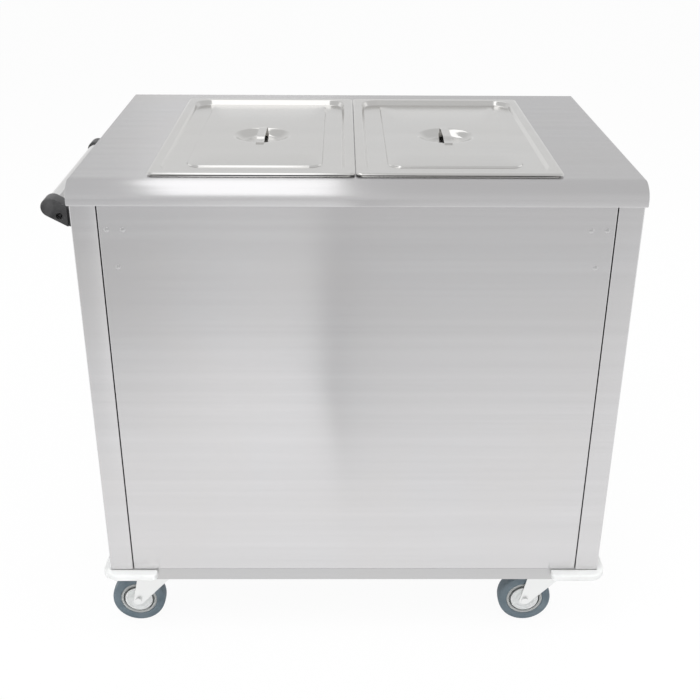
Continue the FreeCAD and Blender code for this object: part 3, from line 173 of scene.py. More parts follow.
# %% Group: brush lines
def build_brush_lines():
    tree, inside, outside = new_group(
        "brush_lines",
        [("Place", "NodeSocketVector", None), ("Across", "NodeSocketFloat", 900.0),
         ("Along", "NodeSocketFloat", 6.0)],
        [("Lines", "NodeSocketFloat"), ("Bands", "NodeSocketFloat")])
    add, link = tree.nodes.new, tree.links.new
    normal = add("ShaderNodeNewGeometry")
    faces = add("ShaderNodeSeparateXYZ")
    link(normal.outputs["Normal"], faces.inputs[0])
    sideways = add("ShaderNodeMath")
    sideways.operation = "ABSOLUTE"
    link(faces.outputs["X"], sideways.inputs[0])
    is_end = add("ShaderNodeMath")
    is_end.operation = "GREATER_THAN"
    is_end.inputs[1].default_value = 0.7
    link(sideways.outputs[0], is_end.inputs[0])
    parts = add("ShaderNodeSeparateXYZ")
    link(inside.outputs["Place"], parts.inputs[0])
    scaled = []
    for first, second, scale in (("X", "Y", "Along"), ("Y", "X", "Across"),
                                 ("Z", "Z", "Across")):
        pick = add("ShaderNodeMix")
        link(is_end.outputs[0], pick.inputs[0])
        link(parts.outputs[first], pick.inputs[2])
        link(parts.outputs[second], pick.inputs[3])
        times = add("ShaderNodeMath")
        times.operation = "MULTIPLY"
        link(pick.outputs[0], times.inputs[0])
        link(inside.outputs[scale], times.inputs[1])
        scaled.append(times.outputs[0])
    squeezed = add("ShaderNodeCombineXYZ")
    for number, value in enumerate(scaled):
        link(value, squeezed.inputs[number])
    for label, scale, detail in (("Lines", 1.0, 3.0), ("Bands", 0.06, 2.0)):
        noise = add("ShaderNodeTexNoise")
        noise.inputs["Scale"].default_value = scale
        noise.inputs["Detail"].default_value = detail
        noise.inputs["Roughness"].default_value = 0.6
        link(squeezed.outputs[0], noise.inputs["Vector"])
        link(noise.outputs["Fac"], outside.inputs[label])
    return tree


brush_lines = build_brush_lines()
print("group", brush_lines.name)

# %% [markdown]
# ## Marks of use
# Even a clean trolley has faint clouds where a cloth has been, and fine scratches from plates. Two
# noises at different scales give the clouds. Thin scratches are the narrow zero line of a third,
# strongly squeezed noise.


# %% Group: wiping clouds and scratches
def build_use_marks():
    tree, inside, outside = new_group(
        "use_marks", [("Place", "NodeSocketVector", None), ("Scale", "NodeSocketFloat", 6.0)],
        [("Clouds", "NodeSocketFloat"), ("Scratches", "NodeSocketFloat")])
    add, link = tree.nodes.new, tree.links.new
    clouds = add("ShaderNodeTexNoise")
    clouds.inputs["Detail"].default_value = 4.0
    clouds.inputs["Distortion"].default_value = 0.6
    link(inside.outputs["Place"], clouds.inputs["Vector"])
    link(inside.outputs["Scale"], clouds.inputs["Scale"])
    link(clouds.outputs["Fac"], outside.inputs["Clouds"])
    turned = add("ShaderNodeMapping")
    turned.inputs["Rotation"].default_value = (0.3, 0.5, 0.7)
    turned.inputs["Scale"].default_value = (18.0, 2.0, 7.0)
    link(inside.outputs["Place"], turned.inputs["Vector"])
    scratch = add("ShaderNodeTexNoise")
    scratch.inputs["Detail"].default_value = 2.0
    link(turned.outputs[0], scratch.inputs["Vector"])
    link(inside.outputs["Scale"], scratch.inputs["Scale"])
    middle = add("ShaderNodeMath")
    middle.operation = "SUBTRACT"
    middle.inputs[1].default_value = 0.5
    link(scratch.outputs["Fac"], middle.inputs[0])
    size = add("ShaderNodeMath")
    size.operation = "ABSOLUTE"
    link(middle.outputs[0], size.inputs[0])
    line = add("ShaderNodeMapRange")
    line.inputs["From Max"].default_value = 0.006
    line.inputs["To Min"].default_value = 1.0
    line.inputs["To Max"].default_value = 0.0
    link(size.outputs[0], line.inputs["Value"])
    link(line.outputs[0], outside.inputs["Scratches"])
    return tree


use_marks = build_use_marks()
print("group", use_marks.name)

# %% [markdown]
# ## Dust
# Dust settles on what faces up and low down. The mask multiplies how far a surface looks up by a
# fine noise, so that it never forms an even film.


# %% Group: dust
def build_dust():
    tree, inside, outside = new_group(
        "dust", [("Place", "NodeSocketVector", None), ("Amount", "NodeSocketFloat", 0.4)],
        [("Mask", "NodeSocketFloat")])
    add, link = tree.nodes.new, tree.links.new
    normal = add("ShaderNodeNewGeometry")
    parts = add("ShaderNodeSeparateXYZ")
    link(normal.outputs["Normal"], parts.inputs[0])
    upward = add("ShaderNodeMapRange")
    upward.inputs["From Min"].default_value = 0.2
    link(parts.outputs["Z"], upward.inputs["Value"])
    grains = add("ShaderNodeTexNoise")
    grains.inputs["Scale"].default_value = 160.0
    grains.inputs["Detail"].default_value = 5.0
    link(inside.outputs["Place"], grains.inputs["Vector"])
    patchy = add("ShaderNodeMapRange")
    patchy.inputs["From Min"].default_value = 0.42
    patchy.inputs["From Max"].default_value = 0.68
    link(grains.outputs["Fac"], patchy.inputs["Value"])
    both = add("ShaderNodeMath")
    both.operation = "MULTIPLY"
    link(upward.outputs[0], both.inputs[0])
    link(patchy.outputs[0], both.inputs[1])
    amount = add("ShaderNodeMath")
    amount.operation = "MULTIPLY"
    link(both.outputs[0], amount.inputs[0])
    link(inside.outputs["Amount"], amount.inputs[1])
    link(amount.outputs[0], outside.inputs["Mask"])
    return tree


dust = build_dust()
print("group", dust.name)

# %% [markdown]
# ## Steel, in six finishes
# The sheet is brushed, the lids are pressed from brighter sheet, the base is plain mill finish
# and the tube is polished. The castors' steel is zinc plated and the handle's screws are
# blackened. They share one recipe: a colour that drifts a little with the brush lines and the
# wiping clouds, a roughness that follows the lines, and a stretch of the gloss across them.


# %% Steel finishes
def steel(name, colour, rough, stretch, lines=0.05, across=900.0, groove=0.00002):
    finish = Finish(name, base_color=colour, metallic=1.0, roughness=rough,
                    anisotropic=stretch)
    grain = finish.group(brush_lines, {"Place": finish.place, "Across": across})
    marks = finish.group(use_marks, {"Place": finish.place, "Scale": 5.0})
    bands = finish.range(grain["Bands"], 0.3, 0.7)
    dark = tuple(part * (1 - lines) for part in colour)
    light = tuple(min(part * (1 + lines), 1.0) for part in colour)
    tone = finish.blend(bands, dark, light)
    warm = tuple(part * tint for part, tint in zip(colour, (1.0, 0.985, 0.965)))
    cloudy = finish.range(marks["Clouds"], 0.35, 0.75, 0.0, 0.5)
    tone = finish.blend(cloudy, tone, warm)
    finish.feed("Base Color", tone)
    fine = finish.range(grain["Lines"], 0.25, 0.75, rough - 0.025, rough + 0.03)
    worn = finish.math("MULTIPLY", marks["Scratches"], 0.04)
    finish.feed("Roughness", finish.math("ADD", fine, worn))
    if groove:
        finish.relief(grain["Lines"], groove, 0.25)
    finish.across_grain()
    return finish.material


brushed_sheet = steel("brushed_sheet", (0.70, 0.695, 0.705), 0.215, 0.97, 0.025)
pressed_sheet = steel("pressed_sheet", (0.74, 0.735, 0.725), 0.15, 0.3, 0.02, 300.0, 0.0)
base_sheet = steel("base_sheet", (0.585, 0.585, 0.59), 0.34, 0.4, 0.03)
dark_screw = steel("blackened_screw", (0.075, 0.075, 0.08), 0.35, 0.0, 0.05, 200.0, 0.0)
polished_tube = steel("polished_tube", (0.86, 0.86, 0.86), 0.12, 0.2, 0.02, 500.0, 0.0)
zinc_plate = steel("zinc_plate", (0.86, 0.87, 0.87), 0.30, 0.0, 0.03, 200.0, 0.0)
print("steel finishes", 6)

# %% [markdown]
# ## Plastics and rubber
# Moulded plastic has a fine grain from its mould, and a slightly softer gloss where hands go. The
# tyres are blue-grey elastic rubber with a little dust; the heaters are dull, heat-tinted sheath.


# %% Plastic, rubber and heater finishes
def plastic(name, colour, rough, grain=1400.0, depth=0.00004, dusty=0.0, coat=0.0):
    finish = Finish(name, base_color=colour, roughness=rough, coat_weight=coat,
                    coat_roughness=0.12)
    marks = finish.group(use_marks, {"Place": finish.place, "Scale": 14.0})
    paler = tuple(part + (1 - part) * 0.08 for part in colour)
    deeper = tuple(part * 0.9 for part in colour)
    cloudy = finish.range(marks["Clouds"], 0.3, 0.7)
    tone = finish.blend(cloudy, deeper, paler)
    scratched = tuple(part + (1 - part) * 0.2 for part in colour)
    tone = finish.blend(finish.math("MULTIPLY", marks["Scratches"], 0.35), tone, scratched)
    if dusty:
        mask = finish.group(dust, {"Place": finish.place, "Amount": dusty})["Mask"]
        tone = finish.blend(mask, tone, (0.55, 0.53, 0.5))
    finish.feed("Base Color", tone)
    finish.feed("Roughness", finish.range(marks["Clouds"], 0.3, 0.7, rough - 0.06, rough + 0.08))
    pores = finish.add("ShaderNodeTexNoise", {"Vector": finish.place, "Scale": grain,
                                              "Detail": 2.0})
    finish.relief(pores.outputs["Fac"], depth, 0.5)
    return finish.material


black_moulding = plastic("black_moulding", (0.022, 0.022, 0.024), 0.42)
bumper_moulding = plastic("bumper_moulding", (0.90, 0.91, 0.905), 0.38, 900.0, dusty=0.04)
tyre_rubber = plastic("tyre_rubber", (0.11, 0.16, 0.195), 0.62, 2200.0, dusty=0.2)
rim_moulding = plastic("rim_moulding", (0.46, 0.48, 0.475), 0.45, dusty=0.1)
guard_moulding = plastic("guard_moulding", (0.83, 0.85, 0.845), 0.36)
knob_moulding = plastic("knob_moulding", (0.018, 0.018, 0.018), 0.28, 1800.0, 0.00001, 0.0, 0.4)
white_print = plastic("white_print", (0.80, 0.80, 0.78), 0.5, 600.0, 0.000005)
amber_lens = plastic("amber_lens", (0.95, 0.33, 0.02), 0.16, 300.0, 0.00001, 0.0, 0.6)
pedal_moulding = plastic("pedal_moulding", (0.10, 0.105, 0.11), 0.45, 900.0, dusty=0.15)
print("plastics", 9)

# %% Heater finish
heater_finish = Finish("heater_sheath", base_color=(0.10, 0.095, 0.09), metallic=1.0,
                       roughness=0.5)
heat = heater_finish.group(use_marks, {"Place": heater_finish.place, "Scale": 9.0})
tint = heater_finish.blend(heater_finish.range(heat["Clouds"], 0.35, 0.65),
                           (0.09, 0.085, 0.08), (0.20, 0.15, 0.12))
heater_finish.feed("Base Color", tint)
heater_finish.feed("Roughness", heater_finish.range(heat["Clouds"], 0.3, 0.7, 0.4, 0.6))
heater_sheath = heater_finish.material

# %% [markdown]
# ## The studio
# The photograph was made on a white sweep. The floor stays a real, diffuse floor, so it keeps the
# trolley's soft shadow, and part of it glows white for rays that the camera or a reflection sends
# there. The world is white to the same rays and a plain soft light to everything else.


# %% Floor and world
def seen_rays(tree):
    """One where a ray comes from the camera, a mirror-like surface or through glass."""
    path = tree.nodes.new("ShaderNodeLightPath")
    total = path.outputs["Is Camera Ray"]
    for name in ("Is Glossy Ray", "Is Transmission Ray"):
        joined = tree.nodes.new("ShaderNodeMath")
        joined.operation = "MAXIMUM"
        tree.links.new(total, joined.inputs[0])
        tree.links.new(path.outputs[name], joined.inputs[1])
        total = joined.outputs[0]
    return total


def build_floor():
    mesh = bpy.data.meshes.new("studio_floor")
    span = 15.0
    mesh.from_pydata([(-span, -span, 0), (span, -span, 0), (span, span, 0), (-span, span, 0)],
                     [], [(0, 1, 2, 3)])
    floor = bpy.data.objects.new("studio_floor", mesh)
    scene.collection.objects.link(floor)
    material = bpy.data.materials.new("white_sweep")
    material.use_nodes = True
    tree = material.node_tree
    shader = tree.nodes["Principled BSDF"]
    shader.inputs["Base Color"].default_value = (0.95, 0.95, 0.95, 1.0)
    shader.inputs["Roughness"].default_value = 0.9
    shader.inputs["Specular IOR Level"].default_value = 0.0
    glow = tree.nodes.new("ShaderNodeEmission")
    share = tree.nodes.new("ShaderNodeMath")
    share.operation = "MULTIPLY"
    share.inputs[1].default_value = 0.94
    tree.links.new(seen_rays(tree), share.inputs[0])
    mix = tree.nodes.new("ShaderNodeMixShader")
    tree.links.new(share.outputs[0], mix.inputs[0])
    tree.links.new(shader.outputs[0], mix.inputs[1])
    tree.links.new(glow.outputs[0], mix.inputs[2])
    tree.links.new(mix.outputs[0], tree.nodes["Material Output"].inputs["Surface"])
    mesh.materials.append(material)


def build_world():
    world = bpy.data.worlds.new("soft_white_room")
    scene.world = world
    world.use_nodes = True
    tree = world.node_tree
    light = tree.nodes["Background"]
    light.inputs["Color"].default_value = (1.0, 1.0, 1.0, 1.0)
    light.inputs["Strength"].default_value = 0.66
    white = tree.nodes.new("ShaderNodeBackground")
    white.inputs["Color"].default_value = (1.0, 1.0, 1.0, 1.0)
    white.inputs["Strength"].default_value = 1.0
    mix = tree.nodes.new("ShaderNodeMixShader")
    tree.links.new(seen_rays(tree), mix.inputs[0])
    tree.links.new(light.outputs[0], mix.inputs[1])
    tree.links.new(white.outputs[0], mix.inputs[2])
    tree.links.new(mix.outputs[0], tree.nodes["World Output"].inputs["Surface"])


build_floor()
build_world()
scene.view_settings.view_transform = "Standard"

# %% [markdown]
# Steel shows its room, so a white room alone makes it flat. A photographer hangs large cards and
# soft boxes out of sight. The soft boxes here light the plastics and the floor, and reflections
# don't see them. What the steel mirrors is a set of cards: a floor that darkens away from the
# trolley, a grey ceiling, a back wall and one bright window over the left half, which gives the
# white line along the rolled edge. Their tones were worked out from the photograph's panel.


# %% Soft boxes
def soft_box(name, place, aim, width, height, power):
    lamp = bpy.data.lights.new(name, "AREA")
    lamp.shape = "RECTANGLE"
    lamp.size, lamp.size_y = width, height
    lamp.energy = power
    box = bpy.data.objects.new(name, lamp)
    scene.collection.objects.link(box)
    box.location = place
    box.rotation_mode = "QUATERNION"
    box.rotation_quaternion = (Vector(aim) - Vector(place)).to_track_quat("-Z", "Y")
    box.visible_glossy = False


soft_box("left_soft_box", (-0.70, -1.6, 3.0), (-0.25, 0.0, 0.5), 1.6, 1.6, 40)
soft_box("right_soft_box", (1.9, -1.0, 3.0), (0.2, 0.0, 0.5), 1.6, 1.6, 26)
soft_box("back_soft_box", (0.2, 2.4, 2.8), (0.0, 0.0, 0.6), 2.4, 1.2, 18)
print("soft boxes", 3)

# %% [markdown]
# A card is a flat face that glows and that only reflections see. Its tone may change along one or
# two axes. Each change is a colour ramp on the card's own coordinates, and two ramps multiply.


# %% Glowing cards
def tone_ramp(tree, value, stops):
    """A grey ramp through (place, tone) stops; places may lie anywhere."""
    low, high = stops[0][0], stops[-1][0]
    spread = tree.nodes.new("ShaderNodeMapRange")
    spread.inputs["From Min"].default_value = low
    spread.inputs["From Max"].default_value = high
    tree.links.new(value, spread.inputs["Value"])
    ramp = tree.nodes.new("ShaderNodeValToRGB")
    tree.links.new(spread.outputs[0], ramp.inputs[0])
    elements = ramp.color_ramp.elements
    while len(elements) < len(stops):
        elements.new(0.5)
    for element, (place, tone) in zip(elements, stops):
        element.position = (place - low) / (high - low)
        element.color = (tone, tone, tone, 1.0)
    return ramp.outputs[0]


def glow_card(name, corners, strength=1.0, first=None, second=None):
    """A card; first and second are each an axis number and the stops along it."""
    mesh = bpy.data.meshes.new(name)
    mesh.from_pydata(corners, [], [tuple(range(len(corners)))])
    card = bpy.data.objects.new(name, mesh)
    scene.collection.objects.link(card)
    material = bpy.data.materials.new(name)
    material.use_nodes = True
    tree = material.node_tree
    glow = tree.nodes.new("ShaderNodeEmission")
    glow.inputs["Strength"].default_value = strength
    places = tree.nodes.new("ShaderNodeSeparateXYZ")
    tree.links.new(tree.nodes.new("ShaderNodeTexCoord").outputs["Object"], places.inputs[0])
    tones = [tone_ramp(tree, places.outputs[axis], stops)
             for axis, stops in filter(None, (first, second))]
    if len(tones) == 2:
        both = tree.nodes.new("ShaderNodeVectorMath")
        both.operation = "MULTIPLY"
        tree.links.new(tones[0], both.inputs[0])
        tree.links.new(tones[1], both.inputs[1])
        tones = [both.outputs[0]]
    if tones:
        tree.links.new(tones[0], glow.inputs["Color"])
    tree.links.new(glow.outputs[0], tree.nodes["Material Output"].inputs["Surface"])
    mesh.materials.append(material)
    card.visible_camera = False
    card.visible_diffuse = False
    card.visible_shadow = False
    card.visible_transmission = False


# %% [markdown]
# The floor has two cards, and only the far one changes from left to right: its sudden fall near
# the middle is the dark band that the front panel mirrors. A stop is a place in metres and a
# tone, where 1 is white. Walls and ceiling close the room.


# %% Cards for the floor and the room
ROOM_SIDE, ROOM_FRONT, ROOM_BACK, ROOM_TOP = 5, -5, 4, 4.2
FLOOR_SIDE, FLOOR_SEAM, FLOOR_START, CARD_LIFT = 4, -1.15, -0.45, 0.002
FLOOR_AWAY = (1, [(-5.0, 0.42), (-3.2, 0.58), (-2.5, 0.72), (-1.76, 0.93), (-1.15, 1.0),
                  (-0.75, 1.02), (-0.45, 1.0)])
FLOOR_ACROSS = (0, [(-1.2, 0.78), (-0.715, 0.90), (-0.53, 1.02), (-0.34, 1.10), (-0.15, 1.13),
                    (-0.02, 1.13), (0.042, 1.08), (0.06, 0.55), (0.075, 0.67), (0.11, 0.76),
                    (0.15, 0.83), (0.23, 0.89), (0.36, 0.93), (0.6, 0.965)])
WALL_UP = (2, [(1.2, 0.84), (1.7, 0.73), (1.85, 0.70), (2.05, 0.77), (2.5, 0.74), (4.2, 0.66)])


def floor_card(name, far, near, *ramps):
    """A card just over the floor, between two distances from the trolley."""
    glow_card(name, [(-FLOOR_SIDE, far, CARD_LIFT), (FLOOR_SIDE, far, CARD_LIFT),
                     (FLOOR_SIDE, near, CARD_LIFT), (-FLOOR_SIDE, near, CARD_LIFT)], 1.0, *ramps)


def wall_card(name, y, foot, *tones):
    """An upright card across the room, from its foot to the ceiling."""
    glow_card(name, [(-ROOM_SIDE, y, foot), (ROOM_SIDE, y, foot), (ROOM_SIDE, y, ROOM_TOP),
                     (-ROOM_SIDE, y, ROOM_TOP)], *tones)


floor_card("near_floor_card", FLOOR_SEAM, FLOOR_START, FLOOR_AWAY)
floor_card("far_floor_card", ROOM_FRONT, FLOOR_SEAM, FLOOR_AWAY, FLOOR_ACROSS)
wall_card("back_wall_card", ROOM_BACK, 0.2, 1.0, WALL_UP)
wall_card("front_wall_card", ROOM_FRONT, 0, 0.70)
glow_card("ceiling_card", [(-ROOM_SIDE, ROOM_FRONT, ROOM_TOP), (ROOM_SIDE, ROOM_FRONT, ROOM_TOP),
                           (ROOM_SIDE, ROOM_BACK, ROOM_TOP), (-ROOM_SIDE, ROOM_BACK, ROOM_TOP)],
          0.64)

# %% [markdown]
# The window is a strip of three cards that join edge to edge: a pane, a slope above it and a flat
# one overhead, so the rolled edge of the worktop mirrors it without a break. Its right side is
# at X = 0. Each row below gives the left side, Y and Z of one edge of the strip.


# %% Cards for the window
WINDOW_GLOW = 1.42
WINDOW_EDGES = ((-0.71, -2.4, 2.1), (-0.80, -2.4, 3.0), (-0.83, -0.6, 4.0), (-1.20, 3.9, 4.0))
WINDOW_CARDS = ("window_card", "window_roof_card", "window_top_card")
for name, lower, upper in zip(WINDOW_CARDS, WINDOW_EDGES, WINDOW_EDGES[1:]):
    glow_card(name, [lower, (0.0, *lower[1:]), (0.0, *upper[1:]), upper], WINDOW_GLOW)
print("window cards", len(WINDOW_CARDS))

# %% [markdown]
# ## Helpers for meshes
# Sheet-metal pieces are rings of points joined into a skin: a rounded rectangle that is pressed in
# and up step by step makes a worktop, a pan or a lid. Turned pieces are a profile carried round an
# axis. Blocks are an outline given a depth and soft edges. Each helper returns a clean mesh.


# %% Mesh helpers
def ring(middle, half_x, half_y, radius, z, steps=8):
    """Points round a rectangle with round corners; a circle where radius is the half size."""
    points = []
    radius = max(radius, 0.00005)
    for quarter, (side_x, side_y) in enumerate(((1, 1), (-1, 1), (-1, -1), (1, -1))):
        for step in range(steps + 1):
            angle = math.radians(90 * (quarter + step / steps))
            points.append((middle[0] + side_x * (half_x - radius) + radius * math.cos(angle),
                           middle[1] + side_y * (half_y - radius) + radius * math.sin(angle),
                           z))
    return points


def skin(rings, closed=False, first_cap=False, last_cap=False):
    """Join rings with equally many points, one after another, into a mesh in a bmesh."""
    bm = bmesh.new()
    rows = [[bm.verts.new(point) for point in points] for points in rings]
    pairs = list(zip(rows, rows[1:]))
    if closed:
        pairs.append((rows[-1], rows[0]))
    for row, following in pairs:
        for index in range(len(row)):
            after = (index + 1) % len(row)
            bm.faces.new((row[index], row[after], following[after], following[index]))
    if first_cap:
        bm.faces.new(rows[0])
    if last_cap:
        bm.faces.new(rows[-1])
    return bm


def arc(centre, radius, start, end, steps):
    """Points of an arc in a plane, from one angle to another, in degrees."""
    points = []
    for step in range(steps + 1):
        angle = math.radians(start + (end - start) * step / steps)
        points.append((centre[0] + radius * math.cos(angle),
                       centre[1] + radius * math.sin(angle)))
    return points


def turned(profile, steps=64):
    """Carry a profile of (radius, height) round the Z axis; both ends may lie on the axis."""
    rings = [[(radius * math.cos(math.tau * step / steps),
               radius * math.sin(math.tau * step / steps), height)
              for step in range(steps)] for radius, height in profile]
    bm = skin(rings)
    bmesh.ops.remove_doubles(bm, verts=bm.verts, dist=1e-7)
    bmesh.ops.holes_fill(bm, edges=bm.edges, sides=0)
    return bm


def slab(outline, low, high, soft=0.0, segments=3):
    """Give an outline in the XY plane a depth along Z, with all its edges softened."""
    bm = bmesh.new()
    bottom = bm.faces.new([bm.verts.new((x, y, low)) for x, y in outline])
    rise = bmesh.ops.extrude_face_region(bm, geom=[bottom])
    moved = [item for item in rise["geom"] if isinstance(item, bmesh.types.BMVert)]
    bmesh.ops.translate(bm, verts=moved, vec=(0, 0, high - low))
    if soft:
        bmesh.ops.recalc_face_normals(bm, faces=bm.faces)
        sharp = [edge for edge in bm.edges
                 if len(edge.link_faces) == 2 and edge.calc_face_angle() > 0.6]
        bmesh.ops.bevel(bm, geom=sharp, offset=soft, segments=segments, profile=0.5,
                        affect="EDGES", clamp_overlap=True)
    return bm


# %% [markdown]
# A finished piece needs five things: a mesh with its faces outwards, smooth shading with sharp
# edges kept, a material, the body that it rides on and the solids that it stands for. One call
# does them all, so no piece can miss one.


# %% Finish a piece
made = []


def joined(parts):
    """Several bmeshes as one."""
    whole = bmesh.new()
    for part in parts:
        bmesh.ops.recalc_face_normals(part, faces=part.faces)
        scratch = bpy.data.meshes.new("scratch")
        part.to_mesh(scratch)
        part.free()
        whole.from_mesh(scratch)
        bpy.data.meshes.remove(scratch)
    return whole


def piece(name, parts, body, slot, material, *nodes, place=None):
    """Turn one or more bmeshes into a finished piece; place moves them into the frame."""
    whole = joined(parts if isinstance(parts, list) else [parts])
    if place is not None:
        bmesh.ops.transform(whole, matrix=place, verts=whole.verts)
    mesh = bpy.data.meshes.new(name)
    whole.to_mesh(mesh)
    whole.free()
    return finish_piece(name, mesh, body, material, nodes)


def finish_piece(name, mesh, body, material, nodes=(), sharp=35):
    mesh.shade_smooth()
    mesh.set_sharp_from_angle(angle=math.radians(sharp))
    mesh.materials.clear()
    mesh.materials.append(material)
    thing = bpy.data.objects.new(name, mesh)
    scene.collection.objects.link(thing)
    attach(thing, body)
    if nodes:
        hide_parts(*nodes)
    made.append(name)
    return thing


def even_shading(thing):
    """Let large flat faces keep their own normal, so that soft edges don't tilt them."""
    weigh = thing.modifiers.new("even_shading", "WEIGHTED_NORMAL")
    weigh.keep_sharp = True
    weigh.weight = 80


def moved(bm, matrix):
    bmesh.ops.transform(bm, matrix=matrix, verts=bm.verts)
    return bm


def shift(x, y, z):
    return Matrix.Translation((x, y, z))


FACE_BACK = Matrix.Rotation(math.radians(-90), 4, "X")   # a piece's own Z becomes +Y
FACE_FRONT = Matrix.Rotation(math.radians(90), 4, "X")   # a piece's own Z becomes -Y

# %% [markdown]
# ## The worktop
# The top is one sheet, rolled down at the front over a wide nose and folded back in underneath.
# The nose is deeper than it is high, and catches the light as one long line, so it gets many
# steps here. The ends are closed flat with a small round, and the rear edge is only eased: it
# follows the last 2 mm of its arc. The skin starts at the inner edge of the return, goes round
# outside, over the top and into the opening for the pans, and comes back underneath, so that
# it's one closed sheet.


# %% Worktop
def worktop():
    low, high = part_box("worktop")
    middle = (low + high) / 2
    half = (high - low) / 2
    sheet, nose, nose_run, rear_arc, soft = 1.2 * MM, 26.5 * MM, 37 * MM, 13 * MM, 2 * MM
    fold = 15.2 * MM
    tank_low, tank_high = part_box("well_tank")
    flange, well_corner = 12 * MM, 15 * MM
    well = (tank_low + tank_high) / 2
    well_x = (tank_high.x - tank_low.x) / 2 - flange
    well_y = (tank_high.y - tank_low.y) / 2 - flange

    def outer(ends, front, rear, z):
        return ring((middle.x, middle.y + (front - rear) / 2), half.x - ends,
                    half.y - (front + rear) / 2, 0.6 * MM, z, 8)

    def opening(grow, z):
        return ring(well, well_x + grow, well_y + grow, well_corner + grow, z, 8)

    def eased(z, radius):
        """How far an arc has leant in at a height, counted from its last 2 mm (soft)."""
        under = min(max(z - (high.z - soft), 0.0), radius)
        return radius - math.sqrt(radius ** 2 - under ** 2)

    rings = [outer(inset, inset, inset, low.z + rise)
             for inset, rise in ((fold, 0), (1.6 * MM, 0), (0.5 * MM, 0.5 * MM), (0, 1.6 * MM))]
    for y, z in arc((nose, high.z - nose), nose, 180, 90, 22):
        rings.append(outer(eased(z, soft), y * nose_run / nose, eased(z, rear_arc), z))
    rings += [opening(1.5 * MM, high.z), opening(0.45 * MM, high.z - 0.25 * MM),
              opening(0, high.z - sheet), opening(0.8 * MM, high.z - sheet)]
    for y, z in arc((nose, high.z - nose), nose - sheet, 90, 180, 12):
        rings.append(outer(sheet + eased(z, soft - sheet),
                           sheet + (y - sheet) * (nose_run - sheet) / (nose - sheet),
                           sheet + eased(z, rear_arc - sheet), z))
    rings += [outer(inset, inset, inset, low.z + sheet) for inset in (sheet, fold)]
    even_shading(piece("worktop_sheet", skin(rings, closed=True), "cabinet", "steel",
                       brushed_sheet, "worktop"))


worktop()

# %% [markdown]
# ## The end panels
# Each end panel is bent round two corners. A press brake leaves a radius of about the sheet's own
# thickness, and that thin round is what makes the upright bright line at each corner. The bent
# strip is drawn as a path in plan, given its thickness inwards, and raised.


# %% End panels
def bent_strip(path, thickness, low, high):
    """Raise an open path in plan; thickness goes to the left of the path's direction."""
    inner = []
    for index, point in enumerate(path):
        before = Vector(path[max(index - 1, 0)])
        after = Vector(path[min(index + 1, len(path) - 1)])
        along = (after - before).normalized()
        inner.append((point[0] - along.y * thickness, point[1] + along.x * thickness))
    outline = list(path) + inner[::-1]
    bm = bmesh.new()
    rows = [[bm.verts.new((x, y, z)) for x, y in outline] for z in (low, high)]
    count = len(outline)
    for index in range(count):
        after = (index + 1) % count
        bm.faces.new((rows[0][index], rows[0][after], rows[1][after], rows[1][index]))
    half = len(path)
    for row in rows:
        for index in range(half - 1):
            bm.faces.new((row[index], row[index + 1], row[count - 2 - index],
                          row[count - 1 - index]))
    return bm


def end_panel(name, side):
    low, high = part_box(name)
    outside = high.x if side > 0 else low.x
    inside = low.x if side > 0 else high.x
    bend, fold, sheet = 2.4 * MM, 15 * MM, 1.2 * MM
    path = [(inside, low.y + fold)]
    path += [(inside + side * x, low.y + y) for x, y in arc((bend, bend), bend, 180, 270, 5)]
    corner_x = outside - side * bend
    path += [(corner_x + side * x, low.y + bend + y) for x, y in arc((0, 0), bend, 270, 360, 5)]
    path += [(corner_x + side * x, high.y - bend + y) for x, y in arc((0, 0), bend, 0, 90, 5)]
    path += [(inside + side * x, high.y - y)
             for x, y in arc((bend, bend), bend, 270, 180, 5)]
    path.append((inside, high.y - fold))
    strip = bent_strip(path, side * sheet, low.z, high.z)
    piece(f"{name}_sheet", strip, "cabinet", "steel", brushed_sheet, name)


end_panel("left_end_panel", -1)
end_panel("right_end_panel", 1)

# %% [markdown]
# ## The front panel
# The front panel is a tray: a flat face with its four edges folded back. The face gets the same
# small bend radius as the end panels, so the seam beside it reads as a dark line between two soft
# edges.


# %% Folded trays
def tray(name, side):
    """A flat face towards side * Y, with folded edges, as rings round the face."""
    low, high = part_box(name)
    middle = (low + high) / 2
    half_x = (high.x - low.x) / 2
    half_z = (high.z - low.z) / 2
    depth = high.y - low.y
    bend, sheet = 2.0 * MM, 1.2 * MM
    profile = [(0, -depth), (0, -bend)] + arc((bend, -bend), bend, 180, 90, 4)
    inner = [(sheet, -depth), (sheet, -bend)] + arc((bend, -bend), bend - sheet, 180, 90, 3)
    rings = [ring((0, 0), half_x - inset, half_z - inset, 0.3 * MM, z, 2)
             for inset, z in profile + inner[::-1]]
    shell = skin(rings[:len(profile)], last_cap=True)
    back = skin(rings[len(profile):], first_cap=True)
    rim = skin([rings[0], rings[-1]])
    for part in (shell, back, rim):
        part.normal_update()
    whole = joined([shell, back, rim])
    bmesh.ops.remove_doubles(whole, verts=whole.verts, dist=1e-6)
    face_y = high.y if side > 0 else low.y
    turn_out = FACE_BACK if side > 0 else FACE_FRONT
    return moved(whole, shift(middle.x, face_y, middle.z) @ turn_out)


piece("front_panel_sheet", tray("front_panel", -1), "cabinet", "steel", brushed_sheet,
      "front_panel")

# %% [markdown]
# ## The lids
# A gastronorm lid is pressed from one thin sheet: a rolled lip that stands over the pan's rim, a
# narrow flat, a wide channel sunk inside the pan, a middle that is hardly raised and a round dish
# for the fingers. The walls slope, because a press can't form upright ones, and those slopes are
# what shine in the photograph. Under the lip is a dark gap. The profile goes from that gap out
# round the lip and in to the middle, and Solidify gives the sheet its thickness.


